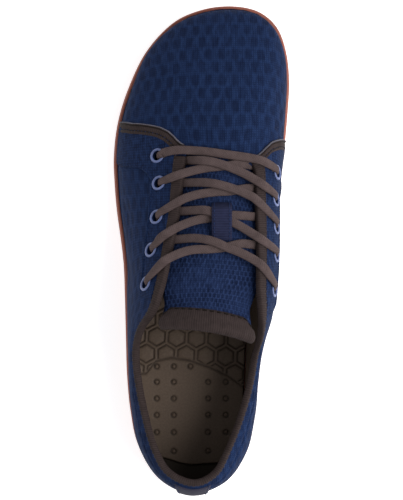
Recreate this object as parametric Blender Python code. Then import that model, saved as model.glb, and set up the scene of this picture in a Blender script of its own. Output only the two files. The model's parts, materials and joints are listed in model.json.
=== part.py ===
"""Lace-up water shoe for the left foot. +Y runs to the toe, +X to the inner side of the foot, +Z up.

Lengths are named in millimetres and turned into metres where a mesh is made.
"""

import math

import bmesh
import bpy
import numpy as np
from mathutils import Vector
from mathutils.bvhtree import BVHTree

MM = 0.001
GAP = 0.3

# Size of the shoe. The last below is drawn at the second value of each pair and stretches with the first.
LENGTH, DRAWN_LENGTH = 281.8, 281.8
BALL_WIDTH, DRAWN_BALL_WIDTH = 102.0, 102.0
INSTEP_HEIGHT, DRAWN_INSTEP_HEIGHT = 83.5, 83.5
ORIGIN = (0.1, 0.5, 0.0)

# Sole
FLOOR = 5.5
LIP_WALL = 2.2
TOE_SPRING = 8.0
SPRING_START = 66.0
SPRING_END = 141.4
HEEL_BEVEL = 2.0
HEEL_BEVEL_START = -126.0
HEEL_BEVEL_LENGTH = 15.0
ARCH_HOLLOW = 2.2
ARCH_PLACE, ARCH_HALF_LENGTH = 2.0, 46.0
ARCH_START_X, ARCH_WIDTH = 14.0, 20.0
GROOVE_DEPTH = 1.6
TREAD_TOP = 2.5
SPRING_LINES = range(74, 140, 9)

# Section of the sole's side as inset and height, and of its lip with heights counted from the lip's top
SOLE_SIDE = ((2.0, 0.0), (0.4, 1.6), (0.0, 4.9), (0.6, 5.4))
SOLE_LIP = ((0.8, -0.5), (1.2, 0.0))

# Cloth
WALL = 2.2
TAPE = 1.0
BINDING_FLAP = 6.2
BINDING_INNER_FLAP = 4.0
CLOTH_GAP = 0.45
INNER_GAP = 0.65
TAPE_HALF = 3.3
EYESTAY = 0.7
INSOLE = 3.5
INSOLE_ROUND = 0.8
INSOLE_INSET = LIP_WALL + GAP + WALL + GAP + 0.3
INSOLE_ARCH, INSOLE_ARCH_PLACE, INSOLE_ARCH_HALF = 5.4, 14.0, 24.0
TONGUE = 3.0
TONGUE_BAND = 12.0
TONGUE_STEPS = 13
TONGUE_ACROSS = np.linspace(-1, 1, 7)
HEEL_STRIP_HALF = 8.5

# Lace and eyelets
LACE_WIDTH = 6.0
LACE_THICKNESS = 1.8
LACE_CLEAR = LACE_THICKNESS / 2 + GAP + 0.5
LACE_NEST = 1.2
LACE_STOP = 6.0
BAR_BOW = 5.0
BAND_SAMPLES = 45
BAND_STEP = 10.0
EYELET_HOLE = 3.15
EYELET_BORE = 2.2
EYELET_BARREL = 2.8
EYELET_FLANGE = 4.4
EYELET_RIM = 0.9
EYELET_STEPS = 8

# The last: sole edge, height of the sole's lip, widest point of the wall, topline, squareness of the shoulder
LAST_COLUMNS = (
    "edge_x", "edge_y", "lip", "wide_x", "wide_y", "wide_z", "top_x", "top_y", "top_z", "shoulder",
)
LAST = {
    "heel_back": (-5.4, -140.4, 14.5, -5.2, -137.2, 36.0, -4.1, -128.4, 70.0, 0.75),
    "heel_lateral_corner": (-24.5, -131.2, 14.0, -23.6, -129.4, 34.0, -18.2, -122.7, 68.4, 0.70),
    "heel_lateral": (-36.6, -113.2, 13.5, -35.2, -112.4, 30.0, -26.1, -110.0, 63.4, 0.65),
    "collar_lateral_rear": (-41.2, -93.0, 13.0, -39.7, -93.0, 26.0, -31.3, -93.4, 57.6, 0.60),
    "collar_lateral_low": (-43.2, -72.5, 12.5, -41.7, -72.5, 24.0, -35.6, -73.0, 55.0, 0.60),
    "collar_lateral_mid": (-43.8, -54.0, 12.0, -42.2, -54.5, 24.0, -36.8, -55.8, 62.0, 0.62),
    "collar_lateral_front": (-44.2, -37.5, 12.0, -42.4, -38.5, 23.0, -33.7, -43.4, 74.5, 0.62),
    "corner_lateral": (-44.6, -22.5, 12.0, -42.6, -24.5, 22.0, -26.5, -32.8, 83.5, 0.64),
    "eyelet5_lateral": (-45.2, -7.5, 12.0, -42.4, -10.0, 20.0, -21.4, -18.4, 81.0, 0.64),
    "eyelet4_lateral": (-47.0, 8.0, 12.0, -44.0, 6.5, 18.0, -17.2, 1.0, 74.5, 0.64),
    "eyelet3_lateral": (-49.1, 23.0, 12.0, -45.8, 22.0, 17.0, -13.4, 19.6, 67.5, 0.64),
    "eyelet2_lateral": (-50.4, 38.5, 12.0, -46.9, 38.0, 17.0, -11.4, 37.6, 60.5, 0.62),
    "eyelet1_lateral": (-50.9, 55.0, 12.0, -47.4, 54.5, 17.0, -9.4, 52.6, 54.5, 0.60),
    "quarter_lateral": (-48.7, 74.0, 12.0, -45.5, 73.0, 17.0, -6.2, 56.4, 54.2, 0.56),
    "toe_lateral_1": (-42.8, 93.5, 12.0, -40.3, 92.2, 18.0, -2.4, 58.0, 55.0, 0.52),
    "toe_lateral_2": (-32.2, 115.2, 12.2, -31.0, 113.8, 20.0, 1.6, 58.8, 55.8, 0.48),
    "toe_lateral_3": (-16.6, 131.8, 12.4, -15.6, 129.2, 23.0, 5.2, 59.2, 56.3, 0.46),
    "toe_lateral_4": (0.4, 139.4, 12.6, 0.8, 136.0, 25.0, 8.4, 59.3, 56.6, 0.45),
    "toe_tip": (17.6, 141.4, 12.8, 17.2, 137.8, 25.5, 11.6, 59.0, 56.6, 0.45),
    "toe_medial_1": (33.0, 138.4, 12.6, 31.6, 135.4, 25.0, 14.6, 58.4, 56.4, 0.46),
    "toe_medial_2": (43.8, 129.4, 12.4, 41.8, 127.4, 24.0, 17.6, 57.4, 56.0, 0.50),
    "toe_medial_3": (49.3, 115.0, 12.2, 47.6, 114.2, 22.0, 20.6, 56.0, 55.6, 0.55),
    "toe_medial_4": (51.1, 98.0, 12.0, 49.2, 97.4, 20.0, 23.6, 54.2, 55.0, 0.60),
    "quarter_medial": (50.2, 80.0, 12.0, 48.3, 79.0, 20.0, 26.8, 51.8, 54.4, 0.64),
    "throat_medial": (48.6, 62.0, 12.0, 46.8, 60.0, 22.0, 29.4, 47.6, 54.6, 0.68),
    "eyelet1_medial": (46.6, 46.5, 11.5, 45.2, 45.5, 28.0, 30.6, 42.6, 56.2, 0.72),
    "eyelet2_medial": (43.0, 30.5, 9.5, 43.8, 30.0, 36.0, 31.0, 29.2, 61.6, 0.75),
    "eyelet3_medial": (39.3, 14.0, 8.0, 43.5, 13.4, 42.0, 31.5, 13.2, 68.0, 0.75),
    "eyelet4_medial": (35.6, -3.0, 8.0, 43.3, -3.2, 46.0, 31.8, -2.6, 74.6, 0.75),
    "eyelet5_medial": (33.4, -20.5, 9.5, 42.4, -21.4, 48.0, 31.8, -20.8, 81.0, 0.74),
    "corner_medial": (32.4, -35.0, 11.0, 40.4, -36.0, 46.0, 33.0, -35.0, 83.5, 0.72),
    "collar_medial_front": (31.4, -48.5, 12.0, 36.4, -49.5, 42.0, 32.8, -46.5, 74.5, 0.70),
    "collar_medial_mid": (30.7, -61.0, 12.5, 33.9, -62.0, 38.0, 30.0, -58.6, 63.6, 0.68),
    "collar_medial_low": (30.1, -76.5, 13.0, 32.6, -77.0, 34.0, 27.2, -75.0, 58.0, 0.65),
    "collar_medial_rear": (29.2, -95.5, 13.5, 30.4, -95.5, 33.0, 21.9, -93.1, 60.0, 0.65),
    "heel_medial": (26.0, -115.5, 14.0, 25.7, -114.4, 34.0, 15.0, -110.2, 64.4, 0.68),
    "heel_medial_corner": (14.4, -132.4, 14.5, 14.0, -130.6, 35.0, 7.8, -123.0, 68.4, 0.72),
}
STATION = {name: float(index) for index, name in enumerate(LAST)}
STRETCH_X, STRETCH_Y = BALL_WIDTH / DRAWN_BALL_WIDTH, LENGTH / DRAWN_LENGTH
STRETCH_Z = INSTEP_HEIGHT / DRAWN_INSTEP_HEIGHT
LAST_ROWS = np.array(list(LAST.values())) * (
    STRETCH_X, STRETCH_Y, 1.0, STRETCH_X, STRETCH_Y, STRETCH_Z, STRETCH_X, STRETCH_Y, STRETCH_Z, 1.0,
)
COUNT = len(LAST_ROWS)

# Waves of the sole's edge at the inner arch: place along the shoe, depth, half width
ARCH_WAVES = ((5.7, 5.0, 6.0), (27.0, 2.4, 5.0))

# Share of the wall's height, counted in steps, where the sole's lip ends and where the wall is widest
RISE_LIP = 0.08
RISE_WIDE = 0.30
RISES = (0.0, RISE_LIP, 0.18, RISE_WIDE, 0.46, 0.64, 0.82, 1.0)

# Tongue sections: outer edge, crown and inner edge of its upper face, from the vamp to the top
TONGUE_SECTIONS = {
    "tuck": ((-7.0, 62.0, 49.4), (10.5, 64.0, 52.4), (26.0, 58.0, 48.8)),
    "throat": ((-10.6, 53.0, 47.8), (10.4, 54.5, 55.0), (30.2, 47.6, 47.8)),
    "eyelet2": ((-12.6, 37.5, 53.8), (9.8, 36.0, 62.0), (31.6, 30.6, 54.4)),
    "eyelet3": ((-14.6, 20.0, 60.8), (9.2, 18.0, 68.8), (32.2, 14.2, 60.8)),
    "eyelet4": ((-18.2, 1.5, 67.6), (7.6, 0.0, 75.6), (32.2, -2.2, 67.2)),
    "eyelet5": ((-21.4, -18.0, 74.2), (5.4, -17.0, 82.0), (31.0, -20.4, 74.2)),
    "fold": ((-20.2, -30.0, 80.0), (4.4, -28.0, 86.4), (26.6, -33.0, 80.0)),
    "top": ((-22.6, -39.5, 88.5), (3.6, -40.5, 97.0), (28.6, -47.5, 88.5)),
}

# Front edge of each quarter on the wall: share of the wall's height and station
FRONT_EDGE = {
    "lateral": (
        (0.12, 12.88), (0.44, 12.90), (0.59, 12.95), (0.68, 13.05), (0.75, 13.15),
        (0.81, 13.25), (0.86, 13.25), (0.90, 13.10), (0.95, 12.70),
    ),
    "medial": (
        (0.12, 24.02), (0.33, 24.00), (0.46, 23.95), (0.66, 23.80), (0.77, 23.70),
        (0.85, 23.75), (0.92, 23.85),
    ),
}

# Lower edge of each eyestay, as a distance down the wall from the topline, by station
EYESTAY_DEPTH = {
    "lateral": (
        (14.0, 58.0), (11.75, 58.0), (11.55, 37.0), (11.45, 28.0), (11.25, 23.0), (11.0, 19.5), (10.5, 19.5),
        (9.0, 20.0), (7.2, 19.0),
    ),
    "medial": (
        (23.0, 44.0), (25.3, 44.0), (25.55, 34.0), (25.75, 27.0), (26.0, 23.0), (28.0, 22.0), (30.0, 21.0),
    ),
}
EYESTAY_END = {"lateral": 7.3, "medial": 29.9}

# Eyelet rows: station and distance down the wall from the topline
EYELETS = {
    "lateral": ((12.0, 16.6), (11.0, 13.8), (9.9, 13.2), (8.85, 13.6), (7.8, 13.6)),
    "medial": ((25.05, 17.0), (26.05, 15.0), (27.0, 15.2), (27.95, 15.6), (29.0, 14.8)),
}

# Where each lace crossing comes out from under the throat edge: row, outer side point, inner side point
LACE_STARTS = {
    2: ((-6.4, 46.6), (26.6, 40.4)),
    3: ((-6.8, 31.4), (26.8, 27.6)),
    4: ((-8.2, 15.7), (27.0, 11.4)),
    5: ((-11.6, -1.8), (27.2, -5.0)),
}
LOOP_CENTRE_X, LOOP_WIDTH, LOOP_THICKNESS = 10.2, 11.2, 1.2
LOOP_FRONT, LOOP_REAR = 27.5, 4.5

# Tread: border of the honeycomb field, seen from above, and its pads
TREAD_FIELD = (
    (41.5, 116.5), (31.5, 112.5), (21.0, 103.5), (4.0, 103.5), (-7.0, 87.0), (-29.0, 86.0), (-44.0, 65.0),
    (-44.2, 48.5), (-42.6, 27.5), (-38.0, 7.0), (-34.6, -4.0), (-33.0, -19.5), (-32.0, -36.0),
    (-34.0, -74.0), (-33.0, -106.8), (-23.0, -106.8), (-11.8, -92.5), (5.6, -92.5), (16.7, -78.0),
    (17.5, -59.5), (14.1, -44.5), (12.0, -26.0), (15.3, -13.0), (23.4, 9.7), (29.4, 29.0), (37.0, 43.0),
    (42.6, 60.0),
)
PAD_PITCH, PAD_ROW, PAD_ACROSS = 11.2, 10.2, 9.7
RIB_GROOVE, RIB_STEP = 1.5, (2.4, 4.5)
ZIGZAG_FLAT, ZIGZAG_ACROSS, ZIGZAG_ALONG = 18.5, 12.8, 15.8
TOE_RIBS = {"start": (52.7, 124.0), "count": 9}
HEEL_RIBS = {"start": (38.4, -82.0), "count": 10}
RIB_BORDER = 7.5


def mix(a, b, share):
    return a + (b - a) * share


def curve_through(rows, place):
    """Smooth closed curve through the rows of a table, at a fractional row number."""
    first = math.floor(place)
    f = place - first
    before, here, after, beyond = (rows[(first + step) % len(rows)] for step in (-1, 0, 1, 2))
    return 0.5 * (
        2 * here
        + (after - before) * f
        + (2 * before - 5 * here + 4 * after - beyond) * f**2
        + (3 * here - before - 3 * after + beyond) * f**3
    )


def last_at(station):
    return dict(zip(LAST_COLUMNS, curve_through(LAST_ROWS, station)))


def table_at(table, place):
    """Value of a two-column table at a place, straight between its rows."""
    places, values = zip(*sorted(table))
    return float(np.interp(place, places, values))


def spring(y):
    """Lift of the sole towards the toe tip."""
    share = max(0.0, (y - SPRING_START) / (SPRING_END - SPRING_START))
    return TOE_SPRING * share**2


def inward_at(station):
    ahead, behind = curve_through(LAST_ROWS, station + 0.05), curve_through(LAST_ROWS, station - 0.05)
    along = ahead[:2] - behind[:2]
    return np.array((along[1], -along[0])) / np.hypot(*along)


def sole_edge(station, inset=0.0, waves=True):
    """Point of the sole's outline in plan, moved in by a distance."""
    row = curve_through(LAST_ROWS, station)
    wave = 0.0
    if waves and row[0] > 0:
        wave = sum(depth * math.exp(-(((row[1] - place) / half) ** 2)) for place, depth, half in ARCH_WAVES)
    return row[:2] + inward_at(station) * (inset + wave)


def bend(start, pull, end, share):
    """Point of the arc from start to end that leaves towards the pull point."""
    return start * (1 - share) ** 2 + pull * 2 * share * (1 - share) + end * share**2


def wall_point(station, rise):
    """Outer face of the upper: up inside the sole's lip, out to the widest point, in to the topline."""
    row = last_at(station)
    x, y = sole_edge(station, LIP_WALL + GAP)
    low = FLOOR + GAP + spring(y)
    lip = row["lip"] + GAP + spring(y)
    wide = np.array((row["wide_x"], row["wide_y"], row["wide_z"]))
    if rise <= RISE_LIP:
        return np.array((x, y, mix(low, lip, rise / RISE_LIP)))
    if rise <= RISE_WIDE:
        pull = np.array((wide[0], wide[1], mix(lip, wide[2], 0.4)))
        return bend(np.array((x, y, lip)), pull, wide, (rise - RISE_LIP) / (RISE_WIDE - RISE_LIP))
    top = np.array((row["top_x"], row["top_y"], row["top_z"]))
    pull = np.array((wide[0], wide[1], mix(wide[2], top[2], row["shoulder"])))
    return bend(wide, pull, top, (rise - RISE_WIDE) / (1 - RISE_WIDE))


def wall_normal(station, rise):
    up = wall_point(station, min(rise + 0.02, 1.0)) - wall_point(station, max(rise - 0.02, 0.0))
    around = wall_point(station + 0.04, rise) - wall_point(station - 0.04, rise)
    out = np.cross(up, around)
    return out / np.linalg.norm(out)


def skin(station, rise, out):
    """The upper's face moved out along its normal."""
    return wall_point(station, rise) + wall_normal(station, rise) * out


def up_the_wall(station):
    along = wall_point(station, 1.0) - wall_point(station, 0.97)
    return along / np.linalg.norm(along)


def rise_below_top(station, distance):
    """Share of the wall's height that lies this far down from the topline."""
    rises = np.linspace(1.0, RISE_LIP + 0.02, 70)
    points = np.array([wall_point(station, rise) for rise in rises])
    walked = np.concatenate(([0.0], np.cumsum(np.linalg.norm(np.diff(points, axis=0), axis=1))))
    return float(np.interp(distance, walked, rises))


def shoe_stations():
    """Stations of the mesh columns, closer together where the sole's edge waves."""
    stations = []
    for index in range(COUNT):
        waved = STATION["eyelet1_medial"] <= index < STATION["eyelet5_medial"]
        steps = 3 if waved else 2
        stations += [index + step / steps for step in range(steps)]
    return stations


def tongue_point(along, across, down=0.0):
    """Tongue's upper face: along runs 0 to 1 from vamp to top, across -1 to 1 from outer to inner edge."""
    rows = np.array(list(TONGUE_SECTIONS.values()), float) * (STRETCH_X, STRETCH_Y, STRETCH_Z)

    def face(a, c):
        place = a * (len(rows) - 1)
        first = min(int(place), len(rows) - 2)
        f = place - first
        before, here = rows[max(first - 1, 0)], rows[first]
        after, beyond = rows[first + 1], rows[min(first + 2, len(rows) - 1)]
        outer, crown, inner = 0.5 * (
            2 * here
            + (after - before) * f
            + (2 * before - 5 * here + 4 * after - beyond) * f**2
            + (3 * here - before - 3 * after + beyond) * f**3
        )
        return outer * c * (c - 1) / 2 + crown * (1 - c * c) + inner * c * (c + 1) / 2

    if not down:
        return face(along, across)
    lengthways = face(min(along + 0.01, 1.0), across) - face(max(along - 0.01, 0.0), across)
    crossways = face(along, across + 0.02) - face(along, across - 0.02)
    below = np.cross(lengthways, crossways)
    return face(along, across) - down * below / np.linalg.norm(below) * np.sign(below[2])


def material(name, colour, roughness):
    """Plain surface of one colour, given as sRGB shares."""
    made = bpy.data.materials.new(name)
    made.use_nodes = True
    shader = made.node_tree.nodes["Principled BSDF"]
    linear = [c / 12.92 if c <= 0.04045 else ((c + 0.055) / 1.055) ** 2.4 for c in colour]
    shader.inputs["Base Color"].default_value = (*linear, 1.0)
    shader.inputs["Roughness"].default_value = roughness
    shader.inputs["Metallic"].default_value = 0.0
    return made


def finish_mesh(name, bm, surface=None):
    """Object with faces out, in metres about the origin, from a mesh in millimetres."""
    bmesh.ops.recalc_face_normals(bm, faces=bm.faces)
    bmesh.ops.translate(bm, verts=bm.verts, vec=-Vector(ORIGIN))
    bmesh.ops.scale(bm, verts=bm.verts, vec=(MM, MM, MM))
    mesh = bpy.data.meshes.new(name)
    bm.to_mesh(mesh)
    bm.free()
    obj = bpy.data.objects.new(name, mesh)
    bpy.context.scene.collection.objects.link(obj)
    if surface:
        mesh.materials.append(surface)
    return obj


def boolean(obj, other, operation):
    """Applies a Boolean and removes the other object."""
    modifier = obj.modifiers.new(operation.title(), "BOOLEAN")
    modifier.object = other
    modifier.operation = operation
    modifier.solver = "EXACT"
    graph = bpy.context.evaluated_depsgraph_get()
    made = bpy.data.meshes.new_from_object(obj.evaluated_get(graph))
    obj.modifiers.clear()
    obj.data = made
    bpy.data.objects.remove(other)


def add_loft(bm, rings, closed=False):
    """Skin over rings of equal length, with end faces unless the loft closes on itself."""
    rows = [[bm.verts.new(point) for point in ring] for ring in rings]
    size = len(rows[0])
    pairs = list(zip(rows, rows[1:]))
    if closed:
        pairs.append((rows[-1], rows[0]))
    for near, far in pairs:
        for i in range(size):
            j = (i + 1) % size
            bm.faces.new((near[i], near[j], far[j], far[i]))
    if not closed:
        bm.faces.new(rows[0])
        bm.faces.new(rows[-1])
    return rows


def loft(name, rings, surface, closed=False):
    bm = bmesh.new()
    add_loft(bm, rings, closed)
    return finish_mesh(name, bm, surface)


def sheet(name, columns, surface, closed=False):
    """Solid sheet: each column is a pair of lines, its outer and its inner face, from bottom to top."""
    rings = [list(outer) + list(reversed(inner)) for outer, inner in columns]
    return loft(name, rings, surface, closed)


def add_prism(bm, outline, low, high):
    add_loft(bm, [[(x, y, z) for x, y in outline] for z in (low, high)])


def prism(name, outlines, low, high):
    bm = bmesh.new()
    for outline in outlines:
        add_prism(bm, outline, low, high)
    return finish_mesh(name, bm)


def cut_across(bm, faces, places):
    """Lines across flat faces, so that they can follow the toe's lift."""
    for y in places:
        edges = {edge for face in faces if face.is_valid for edge in face.edges}
        verts = {vert for edge in edges for vert in edge.verts}
        geometry = [face for face in faces if face.is_valid] + list(edges) + list(verts)
        cut = bmesh.ops.bisect_plane(bm, geom=geometry, plane_co=(0, y, 0), plane_no=(0, 1, 0))
        faces = [item for item in cut["geom"] if isinstance(item, bmesh.types.BMFace)]


def hexagon(x, y):
    """Honeycomb pad with a corner towards the toe, a little longer than wide."""
    across = PAD_ACROSS / math.sqrt(3)
    along = across * PAD_ROW / (PAD_PITCH * math.sqrt(0.75))
    turns = [math.radians(30 + 60 * side) for side in range(6)]
    return [(x + across * math.cos(turn), y + along * math.sin(turn)) for turn in turns]


def zigzag(start, number, direction):
    """Centre line of one rib groove, from the inner to the outer side."""
    x = start[0] - direction * RIB_STEP[0] * number
    y = start[1] + direction * RIB_STEP[1] * number
    points = [(x, y)]
    for _ in range(4):
        x -= ZIGZAG_FLAT
        points.append((x, y))
        x -= ZIGZAG_ACROSS
        y -= ZIGZAG_ALONG
        points.append((x, y))
    return points


def ribbon(points, width):
    """Outline of a strip of even width along a line."""
    points = [np.array(point, float) for point in points]
    sides = []
    for i, point in enumerate(points):
        before = point - points[i - 1] if i else points[1] - point
        after = points[i + 1] - point if i + 1 < len(points) else before
        turn_in, turn_out = (np.array((-d[1], d[0])) / np.hypot(*d) for d in (before, after))
        middle = turn_in + turn_out
        sides.append(middle / (middle @ turn_in) * width / 2)
    left = [tuple(p + s) for p, s in zip(points, sides)]
    right = [tuple(p - s) for p, s in zip(points, sides)]
    return left + right[::-1]


def arch_share(x, y):
    """How far a point of the sole's underside lies in the hollow of the inner arch."""
    along = max(0.0, 1 - ((y - ARCH_PLACE) / ARCH_HALF_LENGTH) ** 2)
    across = min(1.0, max(0.0, (x - ARCH_START_X) / ARCH_WIDTH))
    return along * across**2 * (3 - 2 * across)


def build_outsole(surface):
    stations = shoe_stations()
    bm = bmesh.new()
    rings = []
    for station in stations:
        lip = last_at(station)["lip"]
        edge = [(inset, lip + z) for inset, z in SOLE_LIP]
        profile = [*SOLE_SIDE, *edge, (LIP_WALL, lip), (LIP_WALL, FLOOR)]
        rings.append([(*sole_edge(station, inset), z) for inset, z in profile])
    size = len(rings[0])
    rows = [[bm.verts.new(point) for point in ring] for ring in rings]
    for near, far in zip(rows, rows[1:] + rows[:1]):
        for i in range(size - 1):
            bm.faces.new((near[i], near[i + 1], far[i + 1], far[i]))
    bm.faces.new([row[0] for row in rows])
    floor = bm.faces.new([row[-1] for row in rows])
    cut_across(bm, [floor], SPRING_LINES)
    outsole = finish_mesh("outsole", bm, surface)

    field = prism("field", [TREAD_FIELD], -1.0, GROOVE_DEPTH)
    pads = []
    for row in range(-11, 12):
        for column in range(-5, 6):
            x = (column + 0.5 * (row % 2)) * PAD_PITCH
            pads.append(hexagon(x, row * PAD_ROW + 4.0))
    boolean(field, prism("pads", pads, -2.0, GROOVE_DEPTH + 1.0), "DIFFERENCE")
    boolean(outsole, field, "DIFFERENCE")

    grooves = [ribbon(zigzag(TOE_RIBS["start"], k, 1), RIB_GROOVE) for k in range(TOE_RIBS["count"])]
    grooves += [ribbon(zigzag(HEEL_RIBS["start"], k, -1), RIB_GROOVE) for k in range(HEEL_RIBS["count"])]
    ribs = prism("ribs", grooves, -1.0, GROOVE_DEPTH)
    inside = [tuple(sole_edge(station, RIB_BORDER)) for station in stations]
    boolean(ribs, prism("inside", [inside], -3.0, GROOVE_DEPTH + 2.0), "INTERSECT")
    boolean(outsole, ribs, "DIFFERENCE")

    for vert in outsole.data.vertices:
        x, y, z = (vert.co[axis] / MM + ORIGIN[axis] for axis in range(3))
        lift = spring(y)
        if z < TREAD_TOP:
            lift += ARCH_HOLLOW * arch_share(x, y)
            lift += HEEL_BEVEL * max(0.0, (HEEL_BEVEL_START - y) / HEEL_BEVEL_LENGTH) ** 2
        vert.co.z += lift * MM
    return outsole


def build_insole(surface):
    bm = bmesh.new()
    levels = ((0.0, GAP), (0.0, INSOLE - INSOLE_ROUND), (INSOLE_ROUND, INSOLE))
    rings = []
    for station in np.arange(0, COUNT, 0.75):
        x, y = sole_edge(station, waves=False)
        inset = INSOLE_INSET
        if x > 0:
            inset += INSOLE_ARCH * math.exp(-(((y - INSOLE_ARCH_PLACE) / INSOLE_ARCH_HALF) ** 2))
        rings.append([(*sole_edge(station, inset + more, False), FLOOR + z) for more, z in levels])
    rows = [[bm.verts.new(point) for point in ring] for ring in rings]
    for near, far in zip(rows, rows[1:] + rows[:1]):
        for i in range(len(levels) - 1):
            bm.faces.new((near[i], near[i + 1], far[i + 1], far[i]))
    faces = [bm.faces.new([row[0] for row in rows]), bm.faces.new([row[-1] for row in rows])]
    cut_across(bm, faces, SPRING_LINES)
    for vert in bm.verts:
        vert.co.z += spring(vert.co.y)
    return finish_mesh("insole", bm, surface)


def build_upper(surface):
    columns = []
    for station in shoe_stations():
        outer = [wall_point(station, rise) for rise in RISES]
        inner = [skin(station, rise, -WALL) for rise in RISES]
        inner[0][2] = outer[0][2]
        columns.append((outer, inner))
    return sheet("upper", columns, surface, closed=True)


def build_tongue(surface):
    columns = []
    for along in np.linspace(0, 1, TONGUE_STEPS):
        upper_face = [tongue_point(along, across) for across in TONGUE_ACROSS]
        lower_face = [tongue_point(along, across, TONGUE) for across in TONGUE_ACROSS]
        columns.append((upper_face, lower_face))
    return sheet("tongue", columns, surface)


def band_starts(across):
    """Share along the tongue where its band begins, at a distance from the end."""
    shares = np.linspace(1.0, 0.6, 60)
    points = np.array([tongue_point(share, across) for share in shares])
    walked = np.concatenate(([0.0], np.cumsum(np.linalg.norm(np.diff(points, axis=0), axis=1))))
    return float(np.interp(TONGUE_BAND, walked, shares))


def build_tongue_band(surface):
    rings = []
    for across in TONGUE_ACROSS:
        start = band_starts(across)
        end = tongue_point(1.0, across) - tongue_point(0.985, across)
        end = end / np.linalg.norm(end)
        shares = (start, mix(start, 1.0, 0.5), 1.0)
        top_out = [tongue_point(s, across, -CLOTH_GAP - TAPE) for s in shares]
        top_in = [tongue_point(s, across, -CLOTH_GAP) for s in shares]
        low_out = [tongue_point(s, across, TONGUE + CLOTH_GAP + TAPE) for s in shares]
        low_in = [tongue_point(s, across, TONGUE + CLOTH_GAP) for s in shares]
        top_in[-1] = top_in[-1] + end * GAP
        low_in[-1] = low_in[-1] + end * GAP
        crest = mix(top_out[-1], low_out[-1], 0.5) + end * (GAP + TAPE + 0.3)
        rings.append(top_out + [crest] + low_out[::-1] + low_in + top_in[::-1])
    return loft("tongue_band", rings, surface)


def build_binding(surface):
    """Tape folded over the throat and collar edge, from one front corner round the heel to the other."""
    first, last = STATION["eyelet1_lateral"], STATION["throat_medial"] + 0.5 - COUNT
    stations = shoe_stations()
    stations = [s - COUNT for s in stations if s - COUNT >= last] + [s for s in stations if s <= first]
    rings = []
    for station in stations:
        up = up_the_wall(station)
        flap, short = (rise_below_top(station, reach) for reach in (BINDING_FLAP, BINDING_INNER_FLAP))
        out = [skin(station, rise, CLOTH_GAP + TAPE) for rise in (flap, 1.0)]
        out_in = [skin(station, rise, CLOTH_GAP) for rise in (flap, 1.0)]
        back = [skin(station, rise, -WALL - INNER_GAP - TAPE) for rise in (short, 1.0)]
        back_in = [skin(station, rise, -WALL - INNER_GAP) for rise in (short, 1.0)]
        out_in[-1] = out_in[-1] + up * GAP
        back_in[-1] = back_in[-1] + up * GAP
        crest = mix(out[-1], back[-1], 0.5) + up * (GAP + TAPE + 0.4)
        rings.append(out + [crest] + back[::-1] + back_in + out_in[::-1])
    return loft("topline_binding", rings, surface)


def front_station(side, rise):
    """Station of the quarter's front edge at a share of the wall's height."""
    return table_at(FRONT_EDGE[side], rise)


def stations_per_mm(station, rise):
    return 0.1 / np.linalg.norm(wall_point(station + 0.05, rise) - wall_point(station - 0.05, rise))


def build_quarter_tape(side, surface):
    rings = []
    for rise in np.linspace(0.115, 0.925, 13):
        middle = front_station(side, rise)
        half = TAPE_HALF * stations_per_mm(middle, rise)
        places = (middle - half, middle, middle + half)
        outer = [skin(place, rise, GAP + TAPE) for place in places]
        inner = [skin(place, rise, GAP) for place in places]
        rings.append(outer + inner[::-1])
    return loft(f"quarter_tape_{side}", rings, surface)


def eyestay_outline(side):
    """Border of the panel on the wall, behind the quarter tape and under the binding."""
    behind = -1 if side == "lateral" else 1
    front = []
    for rise in np.linspace(0.12, 0.88, 6):
        station = front_station(side, rise)
        front.append((station + behind * (TAPE_HALF + 0.6) * stations_per_mm(station, rise), rise))
    start, end = front[-1][0], EYESTAY_END[side]
    stations = np.linspace(start, end, 8)[1:]
    upper_edge = [(station, rise_below_top(station, BINDING_FLAP + 1.2)) for station in stations]
    lower_edge = []
    for station in np.linspace(end, front[0][0], 17):
        depth = table_at(EYESTAY_DEPTH[side], station)
        lower_edge.append((station, max(rise_below_top(station, depth), RISE_LIP + 0.05)))
    return front + upper_edge + lower_edge[:-1]


def build_eyestay(side, surface):
    """Panel cut from a sheet that lies over the upper, by its border seen from the side."""
    first, last = (6, 15) if side == "lateral" else (22, 31)
    columns = []
    for station in np.arange(first, last, 0.5):
        rises = (RISE_LIP + 0.05, *RISES[2:])
        outer = [skin(station, rise, CLOTH_GAP + EYESTAY) for rise in rises]
        inner = [skin(station, rise, CLOTH_GAP) for rise in rises]
        columns.append((outer, inner))
    panel = sheet(f"eyestay_{side}", columns, surface)
    border = [wall_point(station, rise) for station, rise in eyestay_outline(side)]
    reach = (-70.0, 0.0) if side == "lateral" else (20.0, 70.0)
    bm = bmesh.new()
    add_loft(bm, [[(x, y, z) for _, y, z in border] for x in reach])
    boolean(panel, finish_mesh("border", bm), "INTERSECT")
    return panel


def build_heel_strip(surface):
    columns = []
    for share in np.linspace(-1, 1, 5):
        outer, inner = [], []
        for level in np.linspace(0, 1, 7):
            rise = mix(RISE_LIP + 0.03, rise_below_top(0.0, BINDING_FLAP + 0.5), level)
            station = share * HEEL_STRIP_HALF * stations_per_mm(0.0, rise)
            outer.append(skin(station, rise, GAP + TAPE))
            inner.append(skin(station, rise, GAP))
        columns.append((outer, inner))
    return sheet("heel_strip", columns, surface)


def eyelet_frame(side, row):
    """Centre of an eyelet on the upper's face and the three directions about it."""
    station, down = EYELETS[side][row - 1]
    rise = rise_below_top(station, down)
    out = wall_normal(station, rise)
    level = np.cross(out, (0.0, 0.0, 1.0))
    level = level / np.linalg.norm(level)
    return wall_point(station, rise), out, level, np.cross(out, level)


def turned(frame, profile, steps):
    """Rings of a profile of radius and height turned about an eyelet's axis."""
    centre, out, level, upright = frame
    rings = []
    for step in range(steps):
        turn = 2 * math.pi * step / steps
        spoke = level * math.cos(turn) + upright * math.sin(turn)
        rings.append([centre + spoke * radius + out * height for radius, height in profile])
    return rings


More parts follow.
